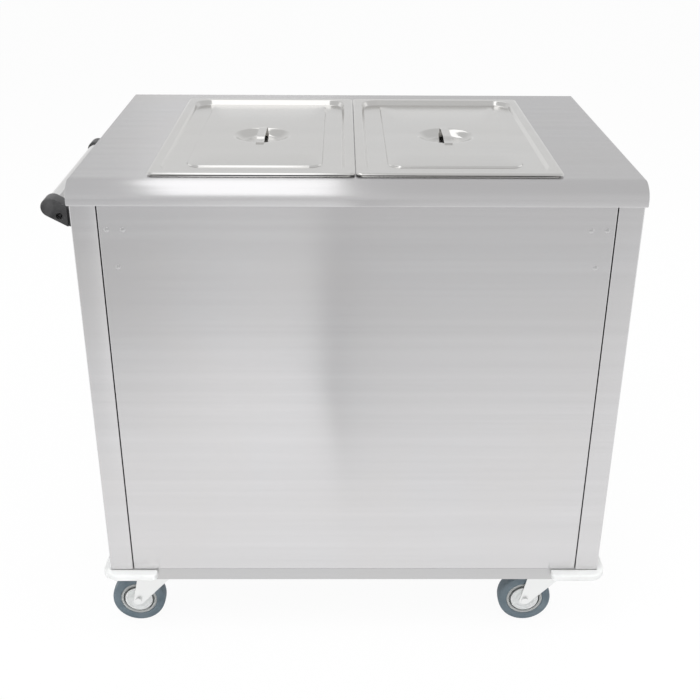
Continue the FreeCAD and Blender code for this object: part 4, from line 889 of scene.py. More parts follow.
# %% Lids
def s_wall(inset, z, run, rise, round_off=2.2 * MM, steps=4):
    """A sloped wall between two flats, rounded at both ends, as (inset, z) points."""
    points = []
    side = 1 if rise > 0 else -1
    slope = math.degrees(math.atan2(abs(rise), run))
    tuck = round_off * math.tan(math.radians(slope / 2))
    for x, y in arc((0, round_off), round_off, -90, -90 + slope, steps):
        points.append((inset - tuck + x, z + side * y))
    for x, y in arc((0, -round_off), round_off, 90 + slope, 90, steps):
        points.append((inset + run + tuck + x, z + rise + side * y))
    return points


def give_thickness(pressing):
    """Turn a pressing's skin into sheet, inwards from the side that shows."""
    solid = pressing.modifiers.new("sheet", "SOLIDIFY")
    solid.thickness = 0.8 * MM
    solid.offset = -1.0


DISH = ((62, 0), (52, 0), (50, -0.25), (47.5, -1.4), (43, -4.6), (38.5, -8), (34, -10.2),
        (28, -11), (20, -11.2), (10, -11.3))   # radius and height of the finger dish, in mm


def lid(side_name):
    low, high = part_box(f"{side_name}_lid")
    middle = (low + high) / 2
    half = (high - low) / 2
    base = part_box(f"{side_name}_pan")[1].z
    edge, lip, lip_run, flat = 4.5 * MM, 2.4 * MM, 6.4 * MM, 16 * MM
    sink, step, lip_corner, stand_back = 8.5 * MM, 2.5 * MM, 9 * MM, 4 * MM
    rings = []

    def add(profile, corner, front=0.0, rear=0.0):
        """Add rings; front and rear pull these two sides in by more than the profile does."""
        for inset, z in profile:
            centre = (middle.x, middle.y + (front - rear) / 2)
            rings.append(ring(centre, half.x - inset, half.y - inset - (front + rear) / 2,
                              corner - inset, base + z, 12))

    add([(8 * MM, 0.15 * MM), (8 * MM, 1.9 * MM), (0.9 * MM, 1.9 * MM),
         (0.25 * MM, 2.0 * MM)], lip_corner, stand_back)
    add([(x * lip_run / lip, z) for x, z in arc((lip, edge - lip), lip, 180, 90, 8)],
        lip_corner, stand_back)
    add([(flat - 5 * MM, edge)], 44 * MM)
    add(s_wall(flat, edge, 5 * MM, -sink), 50 * MM)
    add(s_wall(52 * MM, edge - sink, 1.5 * MM, step, 0.8 * MM), 74 * MM, 16 * MM, -22 * MM)
    deck = base + edge - sink + step
    for radius, z in DISH:
        rings.append(ring(middle, radius * MM, radius * MM, radius * MM, deck + z * MM, 12))
    give_thickness(piece(f"{side_name}_lid_pressing", skin(rings, last_cap=True),
                         f"{side_name}_lid", "lid_steel", pressed_sheet, f"{side_name}_lid"))


SIDES = ("left", "right")
for side_name in SIDES:
    lid(side_name)

# %% [markdown]
# The grip is a flat strap across the dish. It's swept as a rounded rectangle along an arched line,
# and its two feet lie on the lid.


# %% Lid straps
def strap(side_name):
    low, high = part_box(f"{side_name}_lid_handle")
    middle = (low + high) / 2
    reach = (high.y - low.y) / 2
    half_width = (high.x - low.x) / 2
    thick = 2 * MM
    rise = high.z - low.z - thick
    foot, crown = 49 * MM, 24.5 * MM
    line = []
    for step in range(41):
        along = (-1 + 2 * step / 40) * reach
        share = min(max((foot - abs(along)) / (foot - crown), 0.0), 1.0)
        lift = share * share * (3 - 2 * share)
        line.append((along, low.z + lift * rise))
    soft = 0.45 * MM
    section = [(-half_width + soft, 0), (half_width - soft, 0), (half_width, soft),
               (half_width, thick - soft), (half_width - soft, thick),
               (-half_width + soft, thick), (-half_width, thick - soft), (-half_width, soft)]
    rings = [[(middle.x + x, middle.y + y, z + up) for x, up in section] for y, z in line]
    piece(f"{side_name}_lid_strap", skin(rings, first_cap=True, last_cap=True),
          f"{side_name}_lid", "lid_steel", pressed_sheet, f"{side_name}_lid_handle")


for side_name in SIDES:
    strap(side_name)

# %% [markdown]
# ## The pans and the well
# The pans hide under the lids until these are lifted. Their walls lean in, their corners are wide
# and the bottom runs into the walls in one soft curve, so food can be scooped out.


# %% Pans and well
def pan(side_name):
    low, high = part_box(f"{side_name}_pan")
    middle = (low + high) / 2
    half = (high - low) / 2
    rim, top, depth, foot = 12.5 * MM, high.z, high.z - low.z, 15 * MM
    lean = math.tan(math.radians(4))
    profile = [(4.5 * MM, top - 1 * MM, 7), (4.2 * MM, top - 0.5 * MM, 7),
               (4.6 * MM, top, 7),
               (rim - 2 * MM, top, 30), (rim - 0.6 * MM, top - 0.6 * MM, 32),
               (rim, top - 2 * MM, 33)]
    wall_end = depth - foot - 1 * MM
    profile.append((rim + wall_end * lean, top - wall_end, 27))
    for x, z in arc((foot, foot), foot, 180, 270, 6)[1:]:
        profile.append((rim + wall_end * lean + x, low.z + 1 * MM + z,
                        27 - 9 * x / foot))
    rings = [ring(middle, half.x - inset, half.y - inset, corner * MM, z, 10)
             for inset, z, corner in profile]
    give_thickness(piece(f"{side_name}_pan_pressing", skin(rings, last_cap=True),
                         f"{side_name}_pan", "lid_steel", pressed_sheet, f"{side_name}_pan"))


for side_name in SIDES:
    pan(side_name)

# %% [markdown]
# ## The push handle
# Two black moulded brackets hold a stainless tube. Each bracket has a round end over the tube, a
# narrower neck that falls towards the cabinet and a flange on the panel. The three parts are drawn
# from the side as outlines, given their widths and soft edges, and left as one moulding.


# %% Handle tube
def handle_places():
    low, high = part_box("handle_brackets")
    tube_low, tube_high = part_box("handle_tube")
    axis_x = (tube_low.x + tube_high.x) / 2
    axis_z = (tube_low.z + tube_high.z) / 2
    return low, high, axis_x, axis_z


def handle_tube():
    low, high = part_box("handle_tube")
    _, _, axis_x, axis_z = handle_places()
    radius, wall = (high.x - low.x) / 2, 1.5 * MM
    length = high.y - low.y
    bm = turned([(radius - wall, 0), (radius, 0), (radius, length), (radius - wall, length),
                 (radius - wall, 0)], 72)
    piece("handle_tube_polished", bm, "cabinet", "tube_steel", polished_tube, "handle_tube",
          place=shift(axis_x, low.y, axis_z) @ FACE_BACK)


handle_tube()


# %% [markdown]
# Each bracket has a sunk socket for a screw in its outer face. A hole is easiest as a Boolean: the
# cutter is a turned plug, and the cut is worked out at once, so the piece stays a plain mesh.


# %% Drilling
FLIP = Matrix.Rotation(math.pi, 4, "X")


def drilled(bm, cutter):
    """Cut one bmesh out of another with a Boolean and give the result back as a bmesh."""
    things = []
    for number, part in enumerate((bm, cutter)):
        bmesh.ops.recalc_face_normals(part, faces=part.faces)
        mesh = bpy.data.meshes.new(f"drilling_{number}")
        part.to_mesh(mesh)
        part.free()
        things.append(bpy.data.objects.new(f"drilling_{number}", mesh))
        scene.collection.objects.link(things[-1])
    cut = things[0].modifiers.new("hole", "BOOLEAN")
    cut.operation = "DIFFERENCE"
    cut.solver = "EXACT"
    cut.object = things[1]
    result = bmesh.new()
    result.from_object(things[0], bpy.context.evaluated_depsgraph_get())
    for thing in things:
        mesh = thing.data
        bpy.data.objects.remove(thing)
        bpy.data.meshes.remove(mesh)
    return result


# %% Handle brackets
SOCKET_PLACE, SOCKET_DEPTH, SOCKET_RADIUS = 14 * MM, 4.8 * MM, 5.5 * MM


def handle_bracket(side):
    """One bracket, drawn in its own side view: x towards the cabinet, y up."""
    low, high, axis_x, axis_z = handle_places()
    reach = high.x - axis_x
    radius, base, top, foot, slope = 16 * MM, 34 * MM, 6 * MM, 8 * MM, 0.554
    width = 32 * MM
    length = math.sqrt(1 + slope ** 2)
    rise, run = radius / length, radius / length * slope
    lower_x = (base - rise) / slope - run
    foot_x = reach - foot
    upper_z = rise - (foot_x - run) * slope
    start = math.degrees(math.atan2(rise, run))
    head = arc((0, 0), radius, start, start + 180, 20)
    head += [(lower_x - 1 * MM, -(lower_x - 1 * MM + run) * slope - rise),
             (lower_x, rise - (lower_x - run) * slope)]
    neck = [(run - 4 * MM, rise - 6 * MM), (foot_x + 1 * MM, upper_z), (foot_x + 1 * MM, -base),
            (lower_x, -base), (run - 14 * MM, -rise + 4 * MM)]
    flange = [(foot_x, -base), (reach, -base), (reach, top), (foot_x, top)]
    outer = -side * width / 2
    plug = turned([(0, -SOCKET_DEPTH), (SOCKET_RADIUS, -SOCKET_DEPTH),
                   (SOCKET_RADIUS, 4 * MM), (0, 4 * MM)], 40)
    outwards = Matrix.Identity(4) if outer > 0 else FLIP
    arm = drilled(slab(head, -width / 2, width / 2, 2.4 * MM, 4),
                  moved(plug, shift(SOCKET_PLACE, -SOCKET_PLACE, outer) @ outwards))
    parts = [arm,
             slab(neck, -width / 2 + 5 * MM, width / 2 - 5 * MM, 1.6 * MM, 3),
             slab(flange, -width / 2, width / 2, 1.4 * MM, 3)]
    middle_y = side * ((high.y - low.y) / 2 - width / 2) + (high.y + low.y) / 2
    whole = joined(parts)
    return moved(whole, shift(axis_x, middle_y, axis_z) @ FACE_FRONT)


piece("handle_brackets_moulded", [handle_bracket(-1), handle_bracket(1)], "cabinet",
      "black_plastic", black_moulding, "handle_brackets")

# %% [markdown]
# ## The corner bumpers
# Four white mouldings wrap the corners just under the panels. Each is an L in plan with a generous
# corner and round ends. The outline is walked once, then raised and softened.


# %% Corner bumpers
def bumper(side_x, side_y):
    low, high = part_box("corner_bumpers")
    tip_x = high.x if side_x > 0 else low.x
    tip_y = high.y if side_y > 0 else low.y
    thick, end_thick, long_wing, short_wing = 19 * MM, 15 * MM, 99 * MM, 65 * MM
    corner, nose = 30 * MM, 9 * MM
    outline = [(long_wing, thick), (end_thick, thick), (end_thick, short_wing)]
    outline += arc((nose, short_wing - nose), nose, 90, 180, 6)
    outline += arc((corner, corner), corner, 180, 270, 12)
    outline += arc((long_wing - nose, nose), nose, 270, 360, 6)
    placed = [(tip_x - side_x * x, tip_y - side_y * y) for x, y in outline]
    if side_x * side_y < 0:
        placed = placed[::-1]
    return slab(placed, low.z, high.z, 3.0 * MM, 4)


piece("corner_bumpers_moulded",
      [bumper(side_x, side_y) for side_x in (-1, 1) for side_y in (-1, 1)], "cabinet",
      "bumper_plastic", bumper_moulding, "corner_bumpers")

# %% [markdown]
# ## The castors
# A castor is a fork that swivels under a plate, and a wheel between its legs. The wheel is turned:
# a tyre with soft shoulders, a moulded rim with a raised ring, and thin guards that keep thread
# out of the axle. The fork is pressed from sheet, so its legs are flat slabs with soft edges.


# %% Wheels
RIM_RADIUS = 34.3 * MM


def wheel_place(corner):
    low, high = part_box(f"{corner}_tyre")
    return (low + high) / 2


def tyre(corner):
    low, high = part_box(f"{corner}_tyre")
    radius, half, inner = (high.z - low.z) / 2, (high.y - low.y) / 2, RIM_RADIUS
    crown, shoulder, flank = 0.5 * MM, 4.5 * MM, 7 * MM
    profile = [(inner, -half + 1 * MM), (inner + 1 * MM, -half), (radius - flank, -half)]
    profile += [(radius - shoulder + x, -half + shoulder + z)
                for x, z in arc((0, 0), shoulder, 270, 350, 7)]
    profile += [(radius, -half * 0.35), (radius, half * 0.35)]
    profile += [(radius - shoulder + x, half - shoulder + z)
                for x, z in arc((0, 0), shoulder, 10, 90, 7)]
    profile += [(radius - flank, half), (inner + 1 * MM, half), (inner, half - 1 * MM),
                (inner, -half + 1 * MM)]
    profile = [(x - crown if x > radius - 1 * MM and abs(z) > half * 0.5 else x, z)
               for x, z in profile]
    piece(f"{corner}_tyre_moulded", turned(profile, 96), f"{corner}_wheel", "tyre_rubber",
          tyre_rubber, f"{corner}_tyre", place=shift(*wheel_place(corner)) @ FACE_BACK)


def rim(corner):
    low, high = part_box(f"{corner}_rim")
    half = (high.y - low.y) / 2
    side = [(4.1, 13), (12, 13), (12.8, 12), (13.4, 4.6), (27.6, 4.6), (28.6, 5.4),
            (29.2, 12.3), (29.9, 13), (33.6, 13), (34.3, 12.2)]
    scale = half / (13 * MM)
    front = [(x * MM, -z * MM * scale) for x, z in side]
    back = [(x * MM, z * MM * scale) for x, z in side[::-1]]
    front[-1] = (RIM_RADIUS, front[-1][1])
    back[0] = (RIM_RADIUS, back[0][1])
    piece(f"{corner}_rim_moulded", turned(front + back + front[:1], 72), f"{corner}_wheel",
          "rim_plastic", rim_moulding, f"{corner}_rim",
          place=shift(*wheel_place(corner)) @ FACE_BACK)


def guards(corner):
    low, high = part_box(f"{corner}_guards")
    half = (high.y - low.y) / 2
    parts = []
    for side in (-1, 1):
        side_view = [(4, 13.4), (25, 13.4), (26, 13.7), (26, 14.3), (25.2, 14.8), (22, 14.9),
                     (20.5, 14.5), (14, 14.5), (12.4, 15), (4, 15), (4, 13.4)]
        profile = [(x * MM, side * z * MM * half / (15 * MM)) for x, z in side_view]
        parts.append(turned(profile, 64))
    piece(f"{corner}_guards_moulded", parts, f"{corner}_castor", "guard_plastic",
          guard_moulding, f"{corner}_guards",
          place=shift(*wheel_place(corner)) @ FACE_BACK)


CORNERS = ("front_left", "front_right", "rear_left", "rear_right")
for corner in CORNERS:
    tyre(corner)
    rim(corner)
    guards(corner)
print("wheels", len(CORNERS))


# %% Forks
TRAIL = 42 * MM   # from the swivel's axis back to the axle


def fork(corner):
    wheel = wheel_place(corner)
    swivel_x = wheel.x + TRAIL
    swivel_y = wheel.y
    inner, sheet = 15.4 * MM, 2.6 * MM
    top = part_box(f"{corner}_fork")[1].z
    toe = arc((-TRAIL, wheel.z), 11 * MM, 200, 315, 12)
    outline = [(35 * MM, top), (-35 * MM, top)] + toe + [(35 * MM, top - 11 * MM)]
    parts = []
    for start in (-inner - sheet, inner):
        leg = slab(outline, start, start + sheet, 0.7 * MM, 2)
        parts.append(moved(leg, shift(swivel_x, swivel_y, 0) @ FACE_FRONT))
    half_y = inner + sheet
    bend = 2.6 * MM
    crown = [(-half_y, top - bend)] + arc((-half_y + bend, top - bend), bend, 180, 90, 4)
    crown += arc((half_y - bend, top - bend), bend, 90, 0, 4)
    crown += [(half_y - sheet, top - bend), (half_y - sheet - 0.3 * MM, top - sheet),
              (-half_y + sheet + 0.3 * MM, top - sheet), (-half_y + sheet, top - bend)]
    bridge = slab([(y, z) for y, z in crown], -35 * MM, 35 * MM, 0.3 * MM, 1)
    to_x = Matrix(((0, 0, 1, swivel_x), (1, 0, 0, swivel_y), (0, 1, 0, 0), (0, 0, 0, 1)))
    parts.append(moved(bridge, to_x))
    cup = turned([(6.1 * MM, -2.6 * MM), (26.4 * MM, -2.6 * MM), (27 * MM, -2 * MM),
                  (27 * MM, -0.6 * MM), (26.4 * MM, 0), (6.1 * MM, 0), (6.1 * MM, -2.6 * MM)],
                 64)
    parts.append(moved(cup, shift(swivel_x, swivel_y, top)))
    piece(f"{corner}_fork_pressed", parts, f"{corner}_castor", "zinc", zinc_plate,
          f"{corner}_fork")


for corner in CORNERS:
    fork(corner)

# %% [markdown]
# ## Fasteners with Geometry Nodes
# Rivets, screws and bolts are one head used many times. The places are the vertices of a small
# mesh, each with the direction that its head faces as an attribute. The tree puts a copy of the
# head on every place, turns it to face that way, gives it a random twist from a fixed seed, and
# ends in plain geometry, because instances don't reach the exported model.


# %% Tree: a head on every place
def build_fastener_tree():
    tree = bpy.data.node_groups.new("fasteners", "GeometryNodeTree")
    socket = tree.interface.new_socket
    socket("Places", in_out="INPUT", socket_type="NodeSocketGeometry")
    socket("Head", in_out="INPUT", socket_type="NodeSocketObject")
    socket("Size", in_out="INPUT", socket_type="NodeSocketFloat").default_value = 1.0
    socket("Twist", in_out="INPUT", socket_type="NodeSocketFloat").default_value = 1.0
    socket("Seed", in_out="INPUT", socket_type="NodeSocketInt").default_value = 7
    socket("Finish", in_out="INPUT", socket_type="NodeSocketMaterial")
    socket("Fasteners", in_out="OUTPUT", socket_type="NodeSocketGeometry")
    add, link = tree.nodes.new, tree.links.new
    given, result = add("NodeGroupInput"), add("NodeGroupOutput")
    head = add("GeometryNodeObjectInfo")
    link(given.outputs["Head"], head.inputs["Object"])
    facing = add("GeometryNodeInputNamedAttribute")
    facing.data_type = "FLOAT_VECTOR"
    facing.inputs["Name"].default_value = "facing"
    face = add("FunctionNodeAlignRotationToVector")
    face.axis = "Z"
    link(facing.outputs["Attribute"], face.inputs["Vector"])
    chance = add("FunctionNodeRandomValue")
    link(given.outputs["Seed"], chance.inputs["Seed"])
    spin = add("ShaderNodeMath")
    spin.operation = "MULTIPLY"
    link(chance.outputs[1], spin.inputs[0])
    link(given.outputs["Twist"], spin.inputs[1])
    turn = add("FunctionNodeAxisAngleToRotation")
    turn.inputs["Axis"].default_value = (0.0, 0.0, 1.0)
    link(spin.outputs[0], turn.inputs["Angle"])
    both = add("FunctionNodeRotateRotation")
    both.rotation_space = "LOCAL"
    link(face.outputs[0], both.inputs["Rotation"])
    link(turn.outputs[0], both.inputs["Rotate By"])
    copies = add("GeometryNodeInstanceOnPoints")
    link(given.outputs["Places"], copies.inputs["Points"])
    link(head.outputs["Geometry"], copies.inputs["Instance"])
    link(both.outputs[0], copies.inputs["Rotation"])
    link(given.outputs["Size"], copies.inputs["Scale"])
    plain = add("GeometryNodeRealizeInstances")
    link(copies.outputs[0], plain.inputs[0])
    dress = add("GeometryNodeSetMaterial")
    link(plain.outputs[0], dress.inputs["Geometry"])
    link(given.outputs["Finish"], dress.inputs["Material"])
    link(dress.outputs[0], result.inputs[0])
    return tree


fastener_tree = build_fastener_tree()
print("tree", fastener_tree.name)


# %% Filling the tree in
def plain_result(thing):
    """The evaluated object as a plain mesh; the object itself is removed."""
    graph = bpy.context.evaluated_depsgraph_get()
    mesh = bpy.data.meshes.new_from_object(thing.evaluated_get(graph))
    source = thing.data
    bpy.data.objects.remove(thing)
    bpy.data.meshes.remove(source)
    return mesh


def fasteners(name, head, places, body, slot, material, *nodes, twist=math.tau, sharp=30):
    """Copies of a head (a bmesh along Z) on (point, facing) places, as one piece."""
    bmesh.ops.recalc_face_normals(head, faces=head.faces)
    head_mesh = bpy.data.meshes.new(f"{name}_head")
    head.to_mesh(head_mesh)
    head.free()
    pattern = bpy.data.objects.new(f"{name}_head", head_mesh)
    scene.collection.objects.link(pattern)
    spots = bpy.data.meshes.new(f"{name}_places")
    spots.from_pydata([point for point, _ in places], [], [])
    facing = spots.attributes.new("facing", "FLOAT_VECTOR", "POINT")
    for item, (_, direction) in zip(facing.data, places):
        item.vector = direction
    thing = bpy.data.objects.new(f"{name}_places", spots)
    scene.collection.objects.link(thing)
    nodes_modifier = thing.modifiers.new("fasteners", "NODES")
    nodes_modifier.node_group = fastener_tree
    values = {"Head": pattern, "Twist": twist, "Seed": 7, "Finish": material}
    for item in fastener_tree.interface.items_tree:
        if item.name in values:
            nodes_modifier[item.identifier] = values[item.name]
    mesh = plain_result(thing)
    bpy.data.objects.remove(pattern)
    bpy.data.meshes.remove(head_mesh)
    print(name, len(places), "places,", len(mesh.polygons), "faces")
    return finish_piece(name, mesh, body, material, nodes, sharp)


# %% [markdown]
# ## Heads
# A rivet is a shallow dome. A pan-head screw is a dome with a cross sunk in it: the cross is a
# drilled recess, as on the real thing. A bolt's head is a hexagon with its corners turned off.


# %% Heads
def dome_head(radius, height, steps=24):
    crown = (radius ** 2 + height ** 2) / (2 * height)
    reach = math.degrees(math.asin(min(radius / crown, 1.0)))
    profile = [(0.0, -0.2 * MM), (radius - 0.1 * MM, -0.2 * MM), (radius, 0.0)]
    profile += arc((0, height - crown), crown, 90 - reach, 90, 6)[1:-1] + [(0.0, height)]
    return turned(profile, steps)


def cross_head(radius, height):
    head = dome_head(radius, height, 28)
    bar, half_bar = 0.62 * radius, 0.15 * radius
    outline = [(half_bar, -bar), (half_bar, -half_bar), (bar, -half_bar), (bar, half_bar),
               (half_bar, half_bar), (half_bar, bar), (-half_bar, bar), (-half_bar, half_bar),
               (-bar, half_bar), (-bar, -half_bar), (-half_bar, -half_bar), (-half_bar, -bar)]
    return drilled(head, slab(outline, height * 0.35, height * 1.6))


def hex_head(radius, height):
    six = [(radius * math.cos(math.tau * step / 6), radius * math.sin(math.tau * step / 6))
           for step in range(6)]
    return slab(six, 0.0, height, 0.5 * MM, 2)


# %% [markdown]
# The guest's panel has three rivets near each upper corner: two side by side and one below,
# midway between them. Each handle bracket has a screw in its socket and one in its flange.


# %% Rivets and handle screws
RIVET_RADIUS, RIVET_STEP = 4.2 * MM, 12.5 * MM
low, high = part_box("panel_rivets")
rim_width = Vector((RIVET_RADIUS, 0, RIVET_RADIUS))
low, high = low + rim_width, high - rim_width
rivet_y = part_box("front_panel")[0].y
rivet_places = []
for inner in (low.x + RIVET_STEP, high.x - RIVET_STEP):
    rivet_places += [((inner - RIVET_STEP, rivet_y, high.z), (0, -1, 0)),
                     ((inner + RIVET_STEP, rivet_y, high.z), (0, -1, 0)),
                     ((inner, rivet_y, low.z), (0, -1, 0))]
fasteners("panel_rivet_heads", dome_head(RIVET_RADIUS, 1.4 * MM), rivet_places, "cabinet",
          "steel", base_sheet, "panel_rivets")

low, high, axis_x, axis_z = handle_places()
screw_places = []
for side in (-1, 1):
    face = high.y if side > 0 else low.y
    screw_places.append(((axis_x + SOCKET_PLACE, face - side * SOCKET_DEPTH,
                          axis_z - SOCKET_PLACE), (0, side, 0)))
    screw_places.append(((high.x - 8 * MM, face - side * 16 * MM, axis_z - 3 * MM), (-1, 0, 0)))
fasteners("handle_screw_heads", cross_head(4.0 * MM, 2.2 * MM), screw_places, "cabinet",
          "zinc", dark_screw, "handle_screws")

# %% [markdown]
# Three screws hold each bumper, two in its long wing and one in its short one. Four bolts hold
# each castor's plate, with a head below and a nut above, in a square round the swivel's axis.


# %% Bumper screws and castor bolts
SCREW_DEPTH, LONG_WING_SCREWS, SHORT_WING_SCREW = 3 * MM, (40 * MM, 80 * MM), 45.5 * MM
low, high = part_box("corner_bumpers")
bumper_z = (low.z + high.z) / 2
bumper_spots = []
for side_x in (-1, 1):
    for side_y in (-1, 1):
        tip_x = high.x if side_x > 0 else low.x
        tip_y = high.y if side_y > 0 else low.y
        for along in LONG_WING_SCREWS:
            bumper_spots.append(((tip_x - side_x * along, tip_y - side_y * SCREW_DEPTH,
                                  bumper_z), (0, side_y, 0)))
        bumper_spots.append(((tip_x - side_x * SCREW_DEPTH, tip_y - side_y * SHORT_WING_SCREW,
                              bumper_z), (side_x, 0, 0)))
fasteners("bumper_screw_heads", cross_head(3.6 * MM, 2.2 * MM), bumper_spots, "cabinet",
          "zinc", zinc_plate, "bumper_screws")

BOLT_X, BOLT_Y, HEAD_HEIGHT = (2 * MM, 82 * MM), (-30 * MM, 30 * MM), 4 * MM
low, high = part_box("castor_bolts")
bolt_places = []
for corner in CORNERS:
    wheel = wheel_place(corner)
    for x in BOLT_X:
        for y in BOLT_Y:
            for z, side in ((low.z + HEAD_HEIGHT, -1), (high.z - HEAD_HEIGHT, 1)):
                bolt_places.append(((wheel.x + x, wheel.y + y, z), (0, 0, side)))
fasteners("castor_bolt_heads", hex_head(7.4 * MM, HEAD_HEIGHT), bolt_places, "cabinet", "zinc",
          zinc_plate, "castor_bolts")

# %% [markdown]
# ## Soft edges on solids
# The solids under the trolley and on its server's side already have the right shape, but their
# edges are perfectly sharp, and no real edge is. A copy of the solid is merged, its flat faces are
# joined again and a Bevel rounds every edge that turns by more than 40 degrees.


# %% Soft edges
def softened(node, body, material, soft=0.5 * MM, segments=2):
    bm = bmesh.new()
    bm.from_mesh(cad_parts[node].data)
    bmesh.ops.remove_doubles(bm, verts=bm.verts, dist=1e-6)
    bmesh.ops.recalc_face_normals(bm, faces=bm.faces)
    bmesh.ops.dissolve_limit(bm, angle_limit=math.radians(0.5), verts=bm.verts, edges=bm.edges)
    mesh = bpy.data.meshes.new(f"{node}_soft")
    bm.to_mesh(mesh)
    bm.free()
    thing = finish_piece(f"{node}_soft", mesh, body, material, (node,))
    bevel = thing.modifiers.new("soft_edges", "BEVEL")
    bevel.width = soft
    bevel.segments = segments
    bevel.limit_method = "ANGLE"
    bevel.angle_limit = math.radians(40)
    bevel.use_clamp_overlap = True
    even_shading(thing)


softened("control_panel", "cabinet", brushed_sheet, 0.8 * MM)
softened("base_frame", "cabinet", base_sheet, 1.2 * MM)
softened("door_tracks", "cabinet", base_sheet, 0.3 * MM)
softened("switch_housing", "cabinet", black_moulding, 0.4 * MM)
softened("cable_gland", "cabinet", black_moulding, 0.8 * MM)
softened("castor_plates", "cabinet", zinc_plate, 0.5 * MM)
softened("thermostats", "cabinet", black_moulding, 0.5 * MM)
softened("switch_rocker", "switch_rocker", knob_moulding, 0.5 * MM)
for side_name in SIDES:
    softened(f"{side_name}_door",f"{side_name}_door", brushed_sheet, 1.0 * MM)
    softened(f"{side_name}_door_pull", f"{side_name}_door", black_moulding,
             0.5 * MM)
for corner in CORNERS:
    softened(f"{corner}_axle", f"{corner}_castor", zinc_plate, 0.5 * MM)
for corner in ("rear_left", "rear_right"):
    softened(f"{corner}_brake_pedal", f"{corner}_pedal", pedal_moulding,
             0.5 * MM)
print("softened", sum(name.endswith("_soft") for name in made))

# %% [markdown]
# ## The dials
# A dial knob has a skirt that covers the hole, a fluted grip and a white pointer. Its scale is
# printed on the panel: short ticks on three quarters of a circle, with plain numbers outside them.
# The knob is turned, and every third point of the grip's rings is pulled in for the flutes.


# %% Knobs
def knob(name):
    low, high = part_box(name)
    middle = (low + high) / 2
    radius, height = (high.x - low.x) / 2, high.y - low.y
    profile = [(3.1 * MM, 0), (radius - 0.6 * MM, 0), (radius, 0.6 * MM), (radius, 3.4 * MM),
               (radius - 1.2 * MM, 4.6 * MM), (radius * 0.74, 5.6 * MM),
               (radius * 0.68, 6.8 * MM), (radius * 0.64, height - 2.2 * MM),
               (radius * 0.60, height - 0.8 * MM), (radius * 0.52, height), (0, height)]
    steps = 96
    bm = turned(profile, steps)
    for vert in bm.verts:
        reach = math.hypot(vert.co.x, vert.co.y)
        if radius * 0.58 < reach < radius * 0.70 and vert.co.z > 6 * MM:
            angle = math.atan2(vert.co.y, vert.co.x)
            flute = 0.5 - 0.5 * math.cos(24 * angle)
            vert.co.x *= 1 - 0.07 * flute
            vert.co.y *= 1 - 0.07 * flute
    piece(f"{name}_fluted", bm, name, "knob_plastic", knob_moulding, name,
          place=shift(middle.x, low.y, middle.z) @ FACE_BACK)


def pointer(name):
    """The white line on a knob, from its grip to the edge of its skirt, pointing up."""
    low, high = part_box(name)
    middle = (low + high) / 2
    radius, height = (high.x - low.x) / 2, high.y - low.y
    line = slab([(-0.7 * MM, -radius * 0.94), (0.7 * MM, -radius * 0.94),
                 (0.7 * MM, -radius * 0.76), (-0.7 * MM, -radius * 0.76)],
                4.4 * MM, 5.0 * MM, 0.1 * MM, 1)
    top = slab([(-0.7 * MM, -radius * 0.5), (0.7 * MM, -radius * 0.5),
                (0.7 * MM, -radius * 0.05), (-0.7 * MM, -radius * 0.05)],
               height - 0.5 * MM, height - 0.02 * MM, 0.1 * MM, 1)
    piece(f"{name}_pointer", [line, top], name, None, white_print,
          place=shift(middle.x, low.y, middle.z) @ FACE_BACK)


KNOBS = ("well_knob", "cupboard_knob")
for name in KNOBS:
    knob(name)
    pointer(name)


# %% Printed scales
TICKS, TICK_SPAN = 19, 270
SCALE_RADIUS, NUMBER_RADIUS = 24.5 * MM, 34.5 * MM


def tick_places(name):
    """Places of the ticks round a knob, from lower left over the top, seen from the server."""
    low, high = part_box(name)
    middle = (low + high) / 2
    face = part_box("control_panel")[1].y
    places = []
    for step in range(TICKS):
        angle = math.radians(-TICK_SPAN / 2 + TICK_SPAN * step / (TICKS - 1))
        across, up = -math.sin(angle), math.cos(angle)
        places.append((middle, face, across, up, step))
    return places


def printed_scale(name, numbers):
    ticks = []
    for middle, face, across, up, step in tick_places(name):
        length = 4.5 * MM if step % 3 == 0 else 2.6 * MM
        width = 0.5 * MM if step % 3 == 0 else 0.35 * MM
        bar = slab([(-width, SCALE_RADIUS), (width, SCALE_RADIUS), (width, SCALE_RADIUS + length),
                    (-width, SCALE_RADIUS + length)], 0.0, 0.12 * MM)
        roll = Matrix(((up, across, 0, 0), (-across, up, 0, 0), (0, 0, 1, 0), (0, 0, 0, 1)))
        face_out = Matrix(((-1, 0, 0, middle.x), (0, 0, 1, face), (0, 1, 0, middle.z),
                           (0, 0, 0, 1)))
        ticks.append(moved(bar, face_out @ roll))
    for number, (middle, face, across, up, step) in zip(
            numbers, tick_places(name)[::3]):
        text = bpy.data.curves.new("dial_number", "FONT")
        text.body = str(number)
        text.size = 6.5 * MM
        text.extrude = 0.05 * MM
        text.align_x, text.align_y = "CENTER", "CENTER"
        label = bpy.data.objects.new("dial_number", text)
        scene.collection.objects.link(label)
        graph = bpy.context.evaluated_depsgraph_get()
        mesh = bpy.data.meshes.new_from_object(label.evaluated_get(graph))
        bpy.data.objects.remove(label)
        bpy.data.curves.remove(text)
        letters = bmesh.new()
        letters.from_mesh(mesh)
        bpy.data.meshes.remove(mesh)
        bmesh.ops.remove_doubles(letters, verts=letters.verts, dist=1e-7)
        to_panel = Matrix(((-1, 0, 0, middle.x + across * NUMBER_RADIUS),
                           (0, 0, 1, face + 0.06 * MM),
                           (0, 1, 0, middle.z + up * NUMBER_RADIUS), (0, 0, 0, 1)))
        ticks.append(moved(letters, to_panel))
    piece(f"{name}_scale", ticks, "cabinet", None, black_moulding)


for name in KNOBS:
    printed_scale(name, range(0, 121, 20))

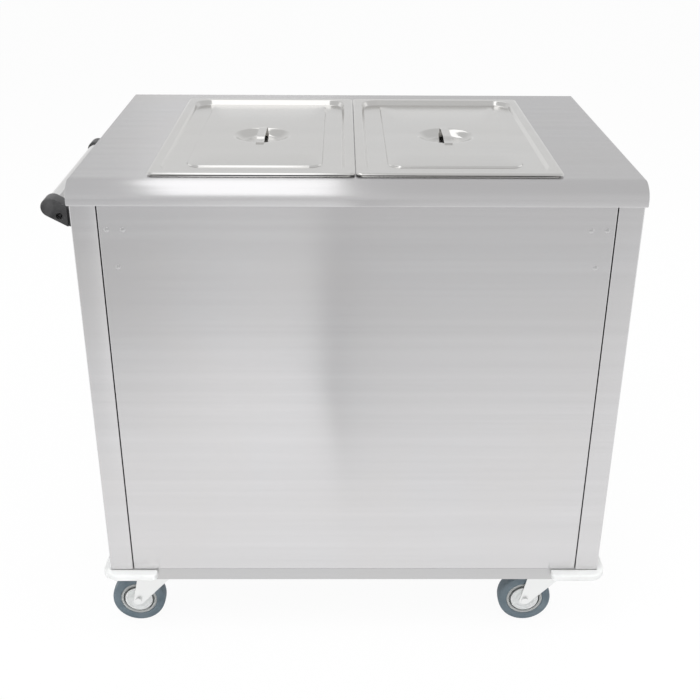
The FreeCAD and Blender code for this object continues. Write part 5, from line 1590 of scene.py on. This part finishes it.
# %% [markdown]
# ## Lamps and switch marks
# Each pilot lamp is a black ring with an amber lens. The lens is a domed cap with fine steps, as
# moulded lenses have, and its dome stays inside the lamp's own length.


# %% Pilot lamps
def lamps():
    low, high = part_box("pilot_lamps")
    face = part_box("control_panel")[1].y
    radius = 6 * MM
    middle_z = (low.z + high.z) / 2
    centres = (low.x + radius * 1.35, high.x - radius * 1.35)
    proud = high.y - face
    rings, lenses = [], []
    for x in centres:
        place = shift(x, face, middle_z) @ FACE_BACK
        bezel = turned([(radius * 0.9, -8 * MM), (radius, -8 * MM), (radius, 0),
                        (radius * 1.35, 0), (radius * 1.35, 1.2 * MM),
                        (radius * 1.25, 2 * MM), (radius * 0.98, 2 * MM),
                        (radius * 0.9, 1.2 * MM), (radius * 0.9, -8 * MM)], 48)
        lens_profile = [(0, -7 * MM), (radius * 0.88, -7 * MM), (radius * 0.88, 1.4 * MM)]
        lens_profile += [(radius * 0.88 * math.cos(angle), 1.4 * MM
                          + (proud - 1.4 * MM) * math.sin(angle))
                         for angle in (0.35, 0.7, 1.0, 1.25)] + [(0, proud)]
        rings.append(moved(bezel, place))
        lenses.append(moved(turned(lens_profile, 48), place))
    piece("pilot_lamp_rings", rings, "cabinet", "black_plastic", black_moulding, "pilot_lamps")
    piece("pilot_lamp_lenses", lenses, "cabinet", "lamp", amber_lens, "pilot_lamps")


lamps()

# %% [markdown]
# ## Everything that keeps its solid
# The other solids already have the right shape and hide inside. Each gets the finish that its real
# piece has, so nothing keeps the plain colour that it came with.


# %% Finishes for the kept solids
KEPT = {
    brushed_sheet: ("middle_shelf", "cupboard_liner", "well_tank", "pan_support_bar"),
    heater_sheath: ("well_element", "cupboard_element"),
}
for material, names in KEPT.items():
    for name in names:
        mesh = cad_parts[name].data
        mesh.materials.clear()
        mesh.materials.append(material)
print("kept solids", sum(len(names) for names in KEPT.values()))

# %% [markdown]
# ## Pieces made
# The last line prints how many pieces were made.

# %% Count of pieces
print("pieces", len(made))
